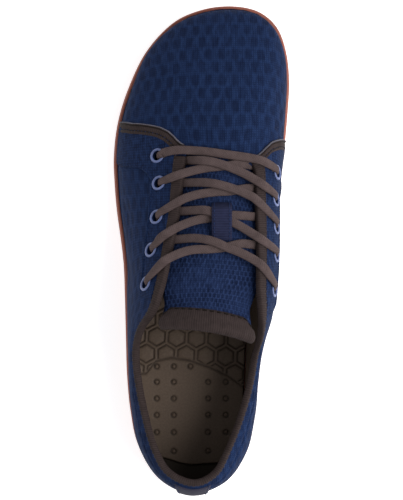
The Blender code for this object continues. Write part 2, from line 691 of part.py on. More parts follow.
def build_eyelet(side, row, surface, cut):
    frame = eyelet_frame(side, row)
    seat = CLOTH_GAP + EYESTAY + GAP
    foot = -WALL - 0.4
    profile = (
        (EYELET_BORE, foot), (EYELET_BARREL, foot), (EYELET_BARREL, seat), (EYELET_FLANGE, seat),
        (EYELET_BORE, seat + EYELET_RIM),
    )
    eyelet = loft(f"eyelet_{side}_{row}", turned(frame, profile, EYELET_STEPS), surface, closed=True)
    hole = ((EYELET_HOLE, -WALL - 3.0), (EYELET_HOLE, 3.0))
    for obj in cut:
        bm = bmesh.new()
        sides = turned(frame, hole, EYELET_STEPS)
        add_loft(bm, [[ring[0] for ring in sides], [ring[1] for ring in sides]])
        boolean(obj, finish_mesh("hole", bm), "DIFFERENCE")
    return eyelet


def support_of(objects):
    """Search tree over the faces of objects, in millimetres about the last's own zero."""
    points, faces = [], []
    for obj in objects:
        start = len(points)
        points += [[vert.co[axis] / MM + ORIGIN[axis] for axis in range(3)] for vert in obj.data.vertices]
        faces += [[start + index for index in polygon.vertices] for polygon in obj.data.polygons]
    return BVHTree.FromPolygons(points, faces)


def resting_height(tree, place, side, width, clear):
    """Height at which a band of this width lies clear over what is under it."""
    best = -1e9
    for share in (-0.5, -0.25, 0.0, 0.25, 0.5):
        x, y = place + side * width * share
        hit, normal, _, _ = tree.ray_cast(Vector((x, y, 200.0)), Vector((0, 0, -1)))
        if hit is not None:
            best = max(best, hit.z + clear / max(abs(normal.z), 0.35))
    return best


def taut(places, heights):
    """Corners of a band pulled tight over a row of resting heights."""
    hull = []
    for point in zip(places, heights):
        while len(hull) > 1 and np.cross(np.subtract(hull[-1], hull[-2]), np.subtract(point, hull[-2])) >= 0:
            hull.pop()
        hull.append(point)
    return hull


def band_path(tree, start, end, width, clear, over=None, lift=None, ends=(None, None), bow=0.0):
    """Centre line of a band from start to end in plan, tight over the tree, another band and a lift."""
    start, end = np.array(start, float), np.array(end, float)
    length = np.linalg.norm(end - start)
    side = np.array((start[1] - end[1], end[0] - start[0])) / length

    def place(distance):
        share = distance / length
        return mix(start, end, share) + (0.0, 4 * bow * share * (1 - share))

    walked = np.linspace(0, length, BAND_SAMPLES)
    heights = []
    for distance in walked:
        height = resting_height(tree, place(distance), side, width, clear)
        if over is not None:
            nested = LACE_NEST - LACE_THICKNESS / 2
            height = max(height, resting_height(over, place(distance), side, width, nested))
        if lift is not None and abs(distance - lift[0]) < length / BAND_SAMPLES:
            height = max(height, lift[1])
        heights.append(height)
    for index, height in zip((0, -1), ends):
        heights[index] = heights[index] if height is None else max(height, heights[index])
    corners = taut(walked, heights)
    kept = [distance for distance, _ in corners]
    even = np.linspace(0, length, int(length / BAND_STEP) + 2)
    stops = sorted(kept + [d for d in even if min(abs(d - k) for k in kept) > BAND_STEP / 3])
    return [np.array((*place(d), np.interp(d, *zip(*corners)))) for d in stops], side


def band_rings(path, side, width, thickness, corners):
    """Cross sections of a band, flat across its path."""
    across = np.array((side[0], side[1], 0.0))
    rings = []
    for i, point in enumerate(path):
        along = path[min(i + 1, len(path) - 1)] - path[max(i - 1, 0)]
        up = np.cross(across, along)
        up = up / np.linalg.norm(up) * (1 if np.cross(across, along)[2] >= 0 else -1)
        rings.append([point + across * width * a + up * thickness * b for a, b in corners])
    return rings


OVAL = [(0.5, 0.0), (0.3, 0.5), (-0.3, 0.5), (-0.5, 0.0), (-0.3, -0.5), (0.3, -0.5)]
FLAT = [(-0.5, -0.5), (0.5, -0.5), (0.5, 0.5), (-0.5, 0.5)]


def above_eyelet(side, row):
    """Plan place and height of a lace end on the panel just above an eyelet."""
    station, down = EYELETS[side][row - 1]
    tip = skin(station, rise_below_top(station, down - LACE_STOP), CLOTH_GAP + EYESTAY + LACE_CLEAR)
    return tip[:2], tip[2]


def crossing(start, end, other_start, other_end):
    """Distance along the first line in plan to where the second crosses it."""
    along, other = np.subtract(end, start), np.subtract(other_end, other_start)
    share = np.cross(np.subtract(other_start, start), other) / np.cross(along, other)
    return share * np.linalg.norm(along)


def height_along(path, distance):
    walked = [np.linalg.norm((point - path[0])[:2]) for point in path]
    return float(np.interp(distance, walked, [point[2] for point in path]))


def build_lace(surface, support):
    """Front bar and four crossings. In each crossing the strand that ends at the inner side lies on top."""
    tree = support_of(support)
    (start, start_z), (end, end_z) = above_eyelet("lateral", 1), above_eyelet("medial", 1)
    path, side = band_path(tree, start, end, LACE_WIDTH, LACE_CLEAR, ends=(start_z, end_z), bow=BAR_BOW)
    made = [loft("lace_bar", band_rings(path, side, LACE_WIDTH, LACE_THICKNESS, OVAL), surface)]
    for row, (outer_start, inner_start) in LACE_STARTS.items():
        below = support_of(support + made[-1:])
        outer_end, outer_z = above_eyelet("lateral", row)
        inner_end, inner_z = above_eyelet("medial", row)
        rising = (below, inner_start, outer_end, LACE_WIDTH, LACE_CLEAR)
        falling = (below, outer_start, inner_end, LACE_WIDTH, LACE_CLEAR)

        path, _ = band_path(*falling, ends=(None, inner_z))
        meet = height_along(path, crossing(outer_start, inner_end, inner_start, outer_end)) - LACE_NEST
        lift = (crossing(inner_start, outer_end, outer_start, inner_end), meet)
        path, side = band_path(*rising, lift=lift, ends=(None, outer_z))
        rings = band_rings(path, side, LACE_WIDTH, LACE_THICKNESS, OVAL)
        under = loft(f"lace_crossing_{row}", rings, surface)

        path, side = band_path(*falling, over=support_of([under]), ends=(None, inner_z))
        over = loft("strand", band_rings(path, side, LACE_WIDTH, LACE_THICKNESS, OVAL), surface)
        boolean(under, over, "UNION")
        made.append(under)
    return made


def build_lace_loop(surface, support):
    clear = LOOP_THICKNESS / 2 + GAP + 0.1
    start, end = (LOOP_CENTRE_X, LOOP_FRONT), (LOOP_CENTRE_X, LOOP_REAR)
    path, side = band_path(support_of(support), start, end, LOOP_WIDTH, clear)
    return loft("lace_loop", band_rings(path, side, LOOP_WIDTH, LOOP_THICKNESS, FLAT), surface)


def main():
    for obj in list(bpy.data.objects):
        bpy.data.objects.remove(obj)
    gum = material("gum_rubber", (0.55, 0.30, 0.23), 0.6)
    navy = material("navy_mesh", (0.11, 0.16, 0.28), 0.9)
    panel = material("navy_panel", (0.10, 0.15, 0.26), 0.85)
    brown = material("brown_tape", (0.24, 0.20, 0.19), 0.85)
    cord = material("brown_lace", (0.33, 0.28, 0.28), 0.85)
    webbing = material("navy_webbing", (0.16, 0.17, 0.28), 0.85)
    footbed = material("brown_footbed", (0.29, 0.25, 0.22), 0.8)
    ring = material("blue_grey_eyelet", (0.25, 0.29, 0.40), 0.5)

    build_outsole(gum)
    build_insole(footbed)
    upper = build_upper(navy)
    tongue = build_tongue(navy)
    band = build_tongue_band(brown)
    binding = build_binding(brown)
    support = [upper, tongue, band, binding]
    for side in ("lateral", "medial"):
        tape = build_quarter_tape(side, brown)
        eyestay = build_eyestay(side, panel)
        support += [tape, eyestay]
        for row in range(1, len(EYELETS[side]) + 1):
            support.append(build_eyelet(side, row, ring, (upper, eyestay)))
    build_heel_strip(webbing)
    laces = build_lace(cord, support)
    build_lace_loop(webbing, [tongue] + laces)


main()
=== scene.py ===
"""Lace-up water shoe for the left foot: the cloth, lace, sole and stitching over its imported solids.

+Y runs to the toe, +X to the inner side of the foot, +Z up. Shapes are drawn on the last in millimetres and
turned into metres about the part's own zero where a mesh is made.
"""

import json
import math

import bmesh
import bpy
import numpy as np
from bpy.props import FloatProperty, FloatVectorProperty, PointerProperty
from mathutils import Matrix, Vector
from mathutils.bvhtree import BVHTree

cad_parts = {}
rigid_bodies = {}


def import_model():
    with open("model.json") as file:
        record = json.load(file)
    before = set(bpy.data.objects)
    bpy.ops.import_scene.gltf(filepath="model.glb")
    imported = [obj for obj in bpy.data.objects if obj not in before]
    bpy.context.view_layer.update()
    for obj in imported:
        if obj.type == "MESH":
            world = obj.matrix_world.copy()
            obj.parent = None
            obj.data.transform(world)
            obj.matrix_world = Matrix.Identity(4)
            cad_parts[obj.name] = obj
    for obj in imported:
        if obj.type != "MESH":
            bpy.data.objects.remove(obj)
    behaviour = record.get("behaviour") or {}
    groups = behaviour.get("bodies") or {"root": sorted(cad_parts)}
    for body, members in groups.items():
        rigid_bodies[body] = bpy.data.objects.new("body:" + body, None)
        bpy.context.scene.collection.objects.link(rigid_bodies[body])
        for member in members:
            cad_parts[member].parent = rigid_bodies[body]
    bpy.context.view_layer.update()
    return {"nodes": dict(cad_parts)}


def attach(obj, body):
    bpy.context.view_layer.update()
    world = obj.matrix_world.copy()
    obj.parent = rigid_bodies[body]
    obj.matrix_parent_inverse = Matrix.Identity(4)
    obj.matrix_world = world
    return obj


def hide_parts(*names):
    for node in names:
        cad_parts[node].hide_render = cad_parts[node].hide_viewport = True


bl_info = {
    "name": "Water Shoe",
    "version": (1, 0, 0),
    "blender": (4, 5, 0),
    "location": "3D View > Sidebar > Shoe",
    "description": "Builds the cloth, lace, sole and stitching of a lace-up water shoe",
    "category": "Add Mesh",
}

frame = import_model()

MM = 0.001
ORIGIN = np.array((0.1, 0.5, 0.0))

# Sole and cloth, as in the part's source
FLOOR = 5.5
LIP_WALL = 2.2
GAP = 0.3
TOE_SPRING, SPRING_START, SPRING_END = 8.0, 66.0, 141.4
WALL = 2.2
TAPE_HALF = 3.3
INSOLE = 3.5
INSOLE_INSET = LIP_WALL + GAP + WALL + GAP + 0.3
INSOLE_ARCH, INSOLE_ARCH_PLACE, INSOLE_ARCH_HALF = 5.4, 14.0, 24.0
TONGUE = 3.0
TONGUE_BAND = 12.0
HEEL_STRIP_HALF = 8.5

# Distance of the heel strip's top down from the topline, and share of its half width where it is sewn
HEEL_STRIP_TOP, HEEL_STRIP_SEAM = 5.6, 0.8
# Height of its edge, what it gains inwards and over which share of its half width, height of its stitches
HEEL_STRIP_EDGE, HEEL_STRIP_GAIN, HEEL_STRIP_ROUND, HEEL_STITCH_HEIGHT = 0.3, 0.9, 0.12, 1.25

# The last: sole edge, height of the sole's lip, widest point of the wall, topline, squareness of the shoulder
LAST = {
    "heel_back": (-5.4, -140.4, 14.5, -5.2, -137.2, 36.0, -4.1, -128.4, 70.0, 0.75),
    "heel_lateral_corner": (-24.5, -131.2, 14.0, -23.6, -129.4, 34.0, -18.2, -122.7, 68.4, 0.70),
    "heel_lateral": (-36.6, -113.2, 13.5, -35.2, -112.4, 30.0, -26.1, -110.0, 63.4, 0.65),
    "collar_lateral_rear": (-41.2, -93.0, 13.0, -39.7, -93.0, 26.0, -31.3, -93.4, 57.6, 0.60),
    "collar_lateral_low": (-43.2, -72.5, 12.5, -41.7, -72.5, 24.0, -35.6, -73.0, 55.0, 0.60),
    "collar_lateral_mid": (-43.8, -54.0, 12.0, -42.2, -54.5, 24.0, -36.8, -55.8, 62.0, 0.62),
    "collar_lateral_front": (-44.2, -37.5, 12.0, -42.4, -38.5, 23.0, -33.7, -43.4, 74.5, 0.62),
    "corner_lateral": (-44.6, -22.5, 12.0, -42.6, -24.5, 22.0, -26.5, -32.8, 83.5, 0.64),
    "eyelet5_lateral": (-45.2, -7.5, 12.0, -42.4, -10.0, 20.0, -21.4, -18.4, 81.0, 0.64),
    "eyelet4_lateral": (-47.0, 8.0, 12.0, -44.0, 6.5, 18.0, -17.2, 1.0, 74.5, 0.64),
    "eyelet3_lateral": (-49.1, 23.0, 12.0, -45.8, 22.0, 17.0, -13.4, 19.6, 67.5, 0.64),
    "eyelet2_lateral": (-50.4, 38.5, 12.0, -46.9, 38.0, 17.0, -11.4, 37.6, 60.5, 0.62),
    "eyelet1_lateral": (-50.9, 55.0, 12.0, -47.4, 54.5, 17.0, -9.4, 52.6, 54.5, 0.60),
    "quarter_lateral": (-48.7, 74.0, 12.0, -45.5, 73.0, 17.0, -6.2, 56.4, 54.2, 0.56),
    "toe_lateral_1": (-42.8, 93.5, 12.0, -40.3, 92.2, 18.0, -2.4, 58.0, 55.0, 0.52),
    "toe_lateral_2": (-32.2, 115.2, 12.2, -31.0, 113.8, 20.0, 1.6, 58.8, 55.8, 0.48),
    "toe_lateral_3": (-16.6, 131.8, 12.4, -15.6, 129.2, 23.0, 5.2, 59.2, 56.3, 0.46),
    "toe_lateral_4": (0.4, 139.4, 12.6, 0.8, 136.0, 25.0, 8.4, 59.3, 56.6, 0.45),
    "toe_tip": (17.6, 141.4, 12.8, 17.2, 137.8, 25.5, 11.6, 59.0, 56.6, 0.45),
    "toe_medial_1": (33.0, 138.4, 12.6, 31.6, 135.4, 25.0, 14.6, 58.4, 56.4, 0.46),
    "toe_medial_2": (43.8, 129.4, 12.4, 41.8, 127.4, 24.0, 17.6, 57.4, 56.0, 0.50),
    "toe_medial_3": (49.3, 115.0, 12.2, 47.6, 114.2, 22.0, 20.6, 56.0, 55.6, 0.55),
    "toe_medial_4": (51.1, 98.0, 12.0, 49.2, 97.4, 20.0, 23.6, 54.2, 55.0, 0.60),
    "quarter_medial": (50.2, 80.0, 12.0, 48.3, 79.0, 20.0, 26.8, 51.8, 54.4, 0.64),
    "throat_medial": (48.6, 62.0, 12.0, 46.8, 60.0, 22.0, 29.4, 47.6, 54.6, 0.68),
    "eyelet1_medial": (46.6, 46.5, 11.5, 45.2, 45.5, 28.0, 30.6, 42.6, 56.2, 0.72),
    "eyelet2_medial": (43.0, 30.5, 9.5, 43.8, 30.0, 36.0, 31.0, 29.2, 61.6, 0.75),
    "eyelet3_medial": (39.3, 14.0, 8.0, 43.5, 13.4, 42.0, 31.5, 13.2, 68.0, 0.75),
    "eyelet4_medial": (35.6, -3.0, 8.0, 43.3, -3.2, 46.0, 31.8, -2.6, 74.6, 0.75),
    "eyelet5_medial": (33.4, -20.5, 9.5, 42.4, -21.4, 48.0, 31.8, -20.8, 81.0, 0.74),
    "corner_medial": (32.4, -35.0, 11.0, 40.4, -36.0, 46.0, 33.0, -35.0, 83.5, 0.72),
    "collar_medial_front": (31.4, -48.5, 12.0, 36.4, -49.5, 42.0, 32.8, -46.5, 74.5, 0.70),
    "collar_medial_mid": (30.7, -61.0, 12.5, 33.9, -62.0, 38.0, 30.0, -58.6, 63.6, 0.68),
    "collar_medial_low": (30.1, -76.5, 13.0, 32.6, -77.0, 34.0, 27.2, -75.0, 58.0, 0.65),
    "collar_medial_rear": (29.2, -95.5, 13.5, 30.4, -95.5, 33.0, 21.9, -93.1, 60.0, 0.65),
    "heel_medial": (26.0, -115.5, 14.0, 25.7, -114.4, 34.0, 15.0, -110.2, 64.4, 0.68),
    "heel_medial_corner": (14.4, -132.4, 14.5, 14.0, -130.6, 35.0, 7.8, -123.0, 68.4, 0.72),
}
STATION = {name: float(index) for index, name in enumerate(LAST)}
LAST_ROWS = np.array(list(LAST.values()))
COUNT = len(LAST_ROWS)
# Columns of mesh from one section of the last to the next
COLUMNS = 8
ALL_STATIONS = np.arange(COUNT * COLUMNS) / COLUMNS

# Waves of the sole's edge at the inner arch: place along the shoe, depth, half width
ARCH_WAVES = ((5.7, 5.0, 6.0), (27.0, 2.4, 5.0))

# Share of the wall's height, counted in steps, where the sole's lip ends and where the wall is widest
RISE_LIP, RISE_WIDE = 0.08, 0.30

# Tongue sections: outer edge, crown and inner edge of its upper face, from the vamp to the top
TONGUE_SECTIONS = {
    "tuck": ((-7.0, 62.0, 49.4), (10.5, 64.0, 52.4), (26.0, 58.0, 48.8)),
    "throat": ((-10.6, 53.0, 47.8), (10.4, 54.5, 55.0), (30.2, 47.6, 47.8)),
    "eyelet2": ((-12.6, 37.5, 53.8), (9.8, 36.0, 62.0), (31.6, 30.6, 54.4)),
    "eyelet3": ((-14.6, 20.0, 60.8), (9.2, 18.0, 68.8), (32.2, 14.2, 60.8)),
    "eyelet4": ((-18.2, 1.5, 67.6), (7.6, 0.0, 75.6), (32.2, -2.2, 67.2)),
    "eyelet5": ((-21.4, -18.0, 74.2), (5.4, -17.0, 82.0), (31.0, -20.4, 74.2)),
    "fold": ((-20.2, -30.0, 80.0), (4.4, -28.0, 86.4), (26.6, -33.0, 80.0)),
    "top": ((-22.6, -39.5, 88.5), (3.6, -40.5, 97.0), (28.6, -47.5, 88.5)),
}
TONGUE_ROWS = np.array(list(TONGUE_SECTIONS.values()))

# Half width of the tongue's cloth, and how far its mesh puffs up
TONGUE_HALF, TONGUE_PUFF = 24.0, 0.35

# Front edge of each quarter on the wall: share of the wall's height and station
FRONT_EDGE = {
    "lateral": (
        (0.12, 12.88), (0.44, 12.90), (0.59, 12.95), (0.68, 13.05), (0.75, 13.15),
        (0.81, 13.25), (0.86, 13.25), (0.90, 13.10), (0.95, 12.70),
    ),
    "medial": (
        (0.12, 24.02), (0.33, 24.00), (0.46, 23.95), (0.66, 23.80), (0.77, 23.70),
        (0.85, 23.75), (0.92, 23.85),
    ),
}

# Lower edge of each eyestay, as a distance down the wall from the topline, by station
EYESTAY_DEPTH = {
    "lateral": (
        (14.0, 58.0), (11.75, 58.0), (11.55, 37.0), (11.45, 28.0), (11.25, 23.0), (11.0, 19.5), (10.5, 19.5),
        (9.0, 20.0), (7.2, 19.0),
    ),
    "medial": (
        (23.0, 44.0), (25.3, 44.0), (25.55, 34.0), (25.75, 27.0), (26.0, 23.0), (28.0, 22.0), (30.0, 21.0),
    ),
}
EYESTAY_ENDS = {"lateral": (7.3, 12.9), "medial": (29.9, 23.95)}
# Eyestay: upper edge, height and seam, its welt, and the shares over which lower edge and rear end run out
EYESTAY_TOP, EYESTAY_PROUD, EYESTAY_SEAM = 4.8, 0.75, 0.86
WELT, WELT_PLACE, WELT_HALF = 0.6, 0.93, 0.035
EYESTAY_BEVEL, EYESTAY_FADE = 0.03, 0.06
# Height of its edge and of its back over the cloth
EYESTAY_EDGE, EYESTAY_BACK = 0.15, 0.08

# Eyelet rows: station and distance down the wall from the topline
EYELETS = {
    "lateral": ((12.0, 16.6), (11.0, 13.8), (9.9, 13.2), (8.85, 13.6), (7.8, 13.6)),
    "medial": ((25.05, 17.0), (26.05, 15.0), (27.0, 15.2), (27.95, 15.6), (29.0, 14.8)),
}
# Radius of an eyelet's hole, height of its ring over the cloth, ends of the cutter in and out
EYELET_HOLE, EYELET_PROUD = 2.7, 1.0
CUTTER_ENDS = (-5.0, 4.0)

# Routes of the lace in plan, from where a strand comes out to just above its eyelet
LACE_BAR = ((-22.5, 54.6), (-14.0, 56.4), (0.5, 55.6), (14.0, 53.8), (28.0, 51.8), (36.5, 49.6))
LACE_TO_LATERAL = {
    2: ((33.5, 47.4), (21.0, 48.4), (13.0, 47.3), (3.0, 46.2), (-7.0, 44.0), (-15.0, 41.5)),
    3: ((31.0, 34.8), (24.5, 34.8), (16.0, 33.2), (7.0, 32.6), (-4.0, 30.8), (-14.0, 27.0)),
    4: ((32.0, 18.8), (24.5, 19.4), (17.5, 19.8), (5.0, 18.2), (-4.0, 16.6), (-14.0, 12.6), (-22.0, 7.6)),
    5: ((31.5, 3.0), (22.0, 4.0), (13.5, 2.0), (4.0, 1.0), (-5.5, 0.5), (-15.0, -2.6), (-24.0, -8.0)),
}
LACE_TO_MEDIAL = {
    2: ((-10.0, 50.8), (3.5, 50.0), (14.0, 47.2), (25.0, 42.4), (34.0, 37.0)),
    3: ((-10.5, 38.0), (3.5, 37.8), (14.0, 35.6), (24.5, 31.8), (33.5, 26.4)),
    4: ((-11.5, 22.0), (0.5, 22.5), (6.0, 21.4), (17.0, 16.0), (24.5, 11.8), (33.0, 6.4)),
    5: ((-15.0, 6.2), (-4.0, 7.0), (5.5, 5.6), (13.5, 2.2), (22.0, -1.2), (30.0, -5.6), (35.5, -10.2)),
}
# How far the start of a strand is tucked under the throat's edge, and down
LACE_TUCK, LACE_TUCK_DOWN = 7.0, 2.0
# Share of a strand that lies on the tongue alone, its clearance, its least width and most thickness
LACE_NEAR, LACE_CLEAR, LACE_NARROW, LACE_BUNCHED = 0.45, 0.1, 0.5, 1.5
# Way into an eyelet: place back along the strand and out, facing as parts out and back, share of width
LACE_DIVE = (
    (5.2, 2.0, 1.0, 0.0, 0.95), (2.4, 1.9, 1.0, -0.4, 0.85),
    (0.6, 0.2, 0.3, -1.0, 0.7), (0.0, -4.0, 0.0, -1.0, 0.6),
)
# Pieces that the lace lies on
LACE_REST = (
    "tongue_pad", "tongue_top_band", "collar_binding", "eyestay_panel_lateral", "eyestay_panel_medial",
    "quarter_trim_lateral", "quarter_trim_medial", "upper_shell",
)
# Lace loop: middle, width and thickness, its two ends, and how far its seams lie from the middle
LOOP_CENTRE_X, LOOP_WIDTH, LOOP_THICKNESS = 11.3, 11.2, 1.2
LOOP_FRONT, LOOP_REAR, LOOP_SEAM = 26.4, 5.8, 4.2

# Share of the binding's full width on the outside, by station round the heel: narrower at the collar
BINDING_FLAP = ((-12.5, 1.0), (-7.5, 0.7), (-5.5, 0.2), (5.5, 0.22), (8.0, 0.75), (12.0, 1.0))
# Section of the binding as distance down and out from the topline: outside, and inside with its way back
BINDING_OUTER = ((6.3, 0.2), (6.3, 0.7), (5.8, 1.05), (4.6, 1.3), (3.2, 1.4), (1.8, 1.4), (0.6, 1.3))
BINDING_INNER = (
    (0.8, -2.75), (2.2, -2.8), (3.6, -2.75), (4.1, -2.6), (4.0, -2.4),
    (2.0, -2.3), (0.0, -2.3), (-0.3, -1.1), (0.0, 0.2), (3.0, 0.2),
)
# Height of its roll over the topline, where the roll starts and ends, and place and height of its seam
ROLL, ROLL_ENDS = 0.9, (1.25, -2.7)
BINDING_SEAM, BINDING_SEAM_HEIGHT = 5.3, 1.2

# Section of a quarter tape: place from its rear to its front edge and height, and the same of its seam
TAPE_SECTION = (
    (-1.0, 0.1), (-0.98, 0.7), (-0.85, 1.1), (-0.6, 1.15), (-0.42, 1.0), (-0.34, 0.55), (-0.26, 1.0),
    (-0.05, 1.25), (0.25, 1.25), (0.48, 1.1), (0.56, 0.7), (0.64, 1.2), (0.8, 1.55), (0.94, 1.3),
    (1.0, 0.7), (1.0, 0.1),
)
TAPE_SEAM, TAPE_SEAM_HEIGHT = -0.34, 0.85

# Tongue band: how far its upper and lower face lie below the tongue's face, and how far its fold stands out
BAND_OVER = (0.1, -0.9, -1.2, -1.3, -1.35, -1.4, -1.4, -1.4, -1.4, -1.4)
BAND_UNDER = (4.4, 4.4, 4.4, 4.3, 4.1, 3.2)
BAND_FOLD = 2.2
# Where its corners start, how much they take off, and place and height of its seam
BAND_CORNER, BAND_CORNER_CUT = 0.86, 0.55
BAND_SEAM, BAND_SEAM_HEIGHT = 0.16, 1.25

# Soft creases of the upper: two ends on the last, depth, half width
CREASES = (
    ((-30.0, 86.0, 34.0), (-2.0, 78.0, 52.0), -0.7, 5.0),
    ((46.0, 92.0, 30.0), (24.0, 82.0, 50.0), -0.6, 5.0),
    ((-20.0, 104.0, 36.0), (8.0, 98.0, 48.0), 0.5, 6.0),
    ((-45.0, 30.0, 30.0), (-36.0, 10.0, 44.0), -0.8, 4.5),
    ((-44.0, -4.0, 30.0), (-36.0, -26.0, 52.0), -0.9, 5.0),
    ((42.0, 24.0, 30.0), (43.0, 2.0, 46.0), -0.6, 5.0),
    ((37.0, -40.0, 30.0), (38.0, -30.0, 60.0), -0.8, 5.0),
    ((-40.0, -66.0, 26.0), (-38.0, -48.0, 44.0), -0.7, 5.0),
    ((30.0, -84.0, 30.0), (30.0, -66.0, 44.0), -0.6, 5.0),
)
# Collar seam: distance down to its groove and back to its ridge, height, depth, half widths, share by station
SEAM_DOWN, SEAM_STEP = 10.0, 3.0
SEAM_RIDGE, SEAM_GROOVE = 0.7, 1.1
SEAM_RIDGE_HALF, SEAM_GROOVE_HALF = 1.8, 1.3
SEAM_SHARE = ((0.0, 1.0), (5.6, 1.0), (6.4, 0.0), (31.0, 0.0), (31.8, 1.0), (COUNT, 1.0))
# Stations between which the footbed's cup runs up the lining at the inner ankle, and its rows of faces
CUP_ENDS = (29.0, 34.0)
CUP_ROWS = 6
# How far the vamp runs on under the front bar of the lace, and the share of it by station
VAMP_EDGE = 3.0
VAMP_SHARE = ((12.4, 0.0), (13.4, 1.0), (23.2, 1.0), (24.2, 0.0))

# Insole: honeycomb about one cell's middle, edge of the smooth heel pad, places of its nubs
HEX_PITCH, HEX_ROW = 11.6, 10.0
HEX_MIDDLE = (-2.9, -50.5)
HEX_TURN = math.radians(-2.0)
HEEL_PAD_EDGE = ((-40.0, -72.0), (-32.0, -71.0), (-26.6, -64.0), (-17.8, -62.0), (-7.1, -63.6), (4.8, -67.6),
                 (15.0, -72.4), (24.4, -79.0), (34.0, -87.0))
FOOTBED_END = ((-40.0, -116.0), (-19.6, -120.5), (-12.0, -123.0), (-6.0, -124.0), (9.0, -123.0),
               (30.0, -119.0))
NUB_COLUMNS = (-26.0, -16.1, 3.9, 14.2)
NUB_ROWS = (-76.0, -85.6, -95.2, -105.2)
NUBS = [(x, y) for y in NUB_ROWS for x in NUB_COLUMNS]
NUBS += [(-26.0, -67.0), (-16.1, -67.0), (-6.5, -67.0), (-16.1, -116.2), (3.9, -116.2)]
NUB_RADIUS, NUB_HEIGHT, NUB_SUNK = 1.15, 1.2, 0.55

# Relief of the insole: dome of a cell, depths of groove, border and dimple, drops and width of its edges
CELL_DOME, GROOVE_DEPTH, BORDER_DEPTH, DIMPLE_DEPTH = 0.25, 0.9, 0.7, 0.5
EDGE_DROP, EDGE_ROUND, END_DROP = 1.2, 1.6, 2.4
# Distances over which dome, groove and dimple rise and fall, half width of the border, darkness of the
# painted shade in groove, border and dimple
DOME_FALL, GROOVE_RISE, GROOVE_FALL, DIMPLE_FALL = (2.0, 4.2), (4.1, 4.5), (4.9, 5.3), (1.5, 2.3)
BORDER_HALF = 0.7
GROOVE_SHADE, BORDER_SHADE, DIMPLE_SHADE = 0.75, 0.7, 0.7

# Section of the sole's side above the tread as inset and height, and of its lip, with heights from its top
RIM_SIDE = ((1.6, 2.8), (0.25, 2.8), (0.0, 4.9), (0.6, 5.4))
RIM_LIP = ((0.8, -0.5), (1.2, 0.0), (2.1, 0.05), (1.6, -1.5))
SOLE_SHARP, RIM_SHARP = math.radians(32), math.radians(35)

# Tread pads of the sole
PAD_PITCH, PAD_ROW, PAD_START = 11.2, 10.2, 4.0

# Lamps with place, size and power, glow of floor and sky, height of the camera and the length it shows
LAMPS = {
    "key": ((0.8, -0.1, 1.15), 0.9, 17.0),
    "fill": ((-1.2, 0.1, 0.45), 1.0, 3.0),
    "edge": ((1.2, -0.2, 0.45), 0.8, 5.0),
}
FLOOR_GLOW, SKY = 0.55, 0.56
CAMERA_HEIGHT, SHOWN = 1.3, 0.292

# Grains, streaks or patches to a millimetre in each finish
MESH_STREAKS, MESH_PATCHES, PANEL_STREAKS = 0.62, 0.045, 0.56
TAPE_GRAINS, LACE_GRAINS, FIBRE_GRAINS, LINING_GRAINS = 0.26, 0.3, 0.9, 0.6
FOAM_PEBBLES, RUBBER_GRAINS, RUBBER_CLOUDS = 0.9, 0.7, 0.04
# Spacing of loops, ribs and strands, drawn coarser than real ones, which would be too fine to show
MESH_LOOP, PANEL_LOOP, TAPE_RIB, WEBBING_RIB, LACE_STRAND = 1.3, 1.5, 1.3, 1.4, 1.5
# Length of one band of Blender's wave pattern at scale 1
WAVE_LENGTH = math.pi / 10

# Kinds of node that come up often
MATH, VECTOR_MATH, MAP_RANGE = "ShaderNodeMath", "ShaderNodeVectorMath", "ShaderNodeMapRange"
NOISE, WAVE = "ShaderNodeTexNoise", "ShaderNodeTexWave"


def linear(code):
    """Linear colour of an sRGB hex value."""
    shares = [int(code[place : place + 2], 16) / 255 for place in (0, 2, 4)]
    return [c / 12.92 if c <= 0.04045 else ((c + 0.055) / 1.055) ** 2.4 for c in shares]


def metres(label, about, default, least):
    """Property for a size."""
    return FloatProperty(name=label, description=about, default=default, min=least, unit="LENGTH")


def tint(label, about, code):
    """Property for a colour, given as an sRGB hex value."""
    return FloatVectorProperty(
        name=label, description=about, subtype="COLOR", default=linear(code), min=0, max=1)


class ShoeSizes(bpy.types.PropertyGroup):
    mesh_width: metres("Mesh cell width", "Spacing of the mesh's cells across the shoe", 0.0076, 0.002)
    mesh_length: metres("Mesh cell length", "Spacing of the mesh's cells along the shoe", 0.0078, 0.002)
    lace_width: metres("Lace width", "Width of the flat lace", 0.0049, 0.003)
    lace_thickness: metres("Lace thickness", "Thickness of the flat lace", 0.002, 0.0008)
    stitch_pitch: metres("Stitch spacing", "Distance from one stitch to the next", 0.0026, 0.001)
    stitch_length: metres("Stitch length", "Length of one stitch", 0.0019, 0.0005)
    eyelet_radius: metres("Eyelet radius", "Radius of an eyelet's ring at its middle", 0.0036, 0.002)
    eyelet_band: metres("Eyelet band", "Width of an eyelet's ring", 0.0015, 0.0005)


class ShoeColours(bpy.types.PropertyGroup):
    navy: tint("Navy mesh", "Web of the mesh cloth", "1d2e50")
    navy_dark: tint("Mesh cells", "Hollows of the mesh cloth", "0a1228")
    tongue: tint("Tongue mesh", "Web of the tongue's finer mesh", "253457")
    tape: tint("Tape", "Ribbed tape of binding, quarters and tongue", "2e2625")
    lace: tint("Lace", "Flat braided lace", "473c3b")
    webbing: tint("Webbing", "Lace loop", "1f2237")
    footbed: tint("Footbed", "Foam of the insole", "645549")
    gum: tint("Gum rubber", "Rubber of the sole", "8f5242")
    eyelet: tint("Eyelets", "Coated rings of the eyelets", "55618a")
    lining: tint("Lining", "Lining inside the shoe", "1c1816")


def mix(a, b, share):
    return a + (b - a) * share


def unit(vectors):
    vectors = np.asarray(vectors, float)
    return vectors / np.maximum(np.linalg.norm(vectors, axis=-1, keepdims=True), 1e-12)


def through(before, here, after, beyond, f):
    """Smooth curve from here to after."""
    return 0.5 * (
        2 * here
        + (after - before) * f
        + (2 * before - 5 * here + 4 * after - beyond) * f**2
        + (3 * here - before - 3 * after + beyond) * f**3
    )


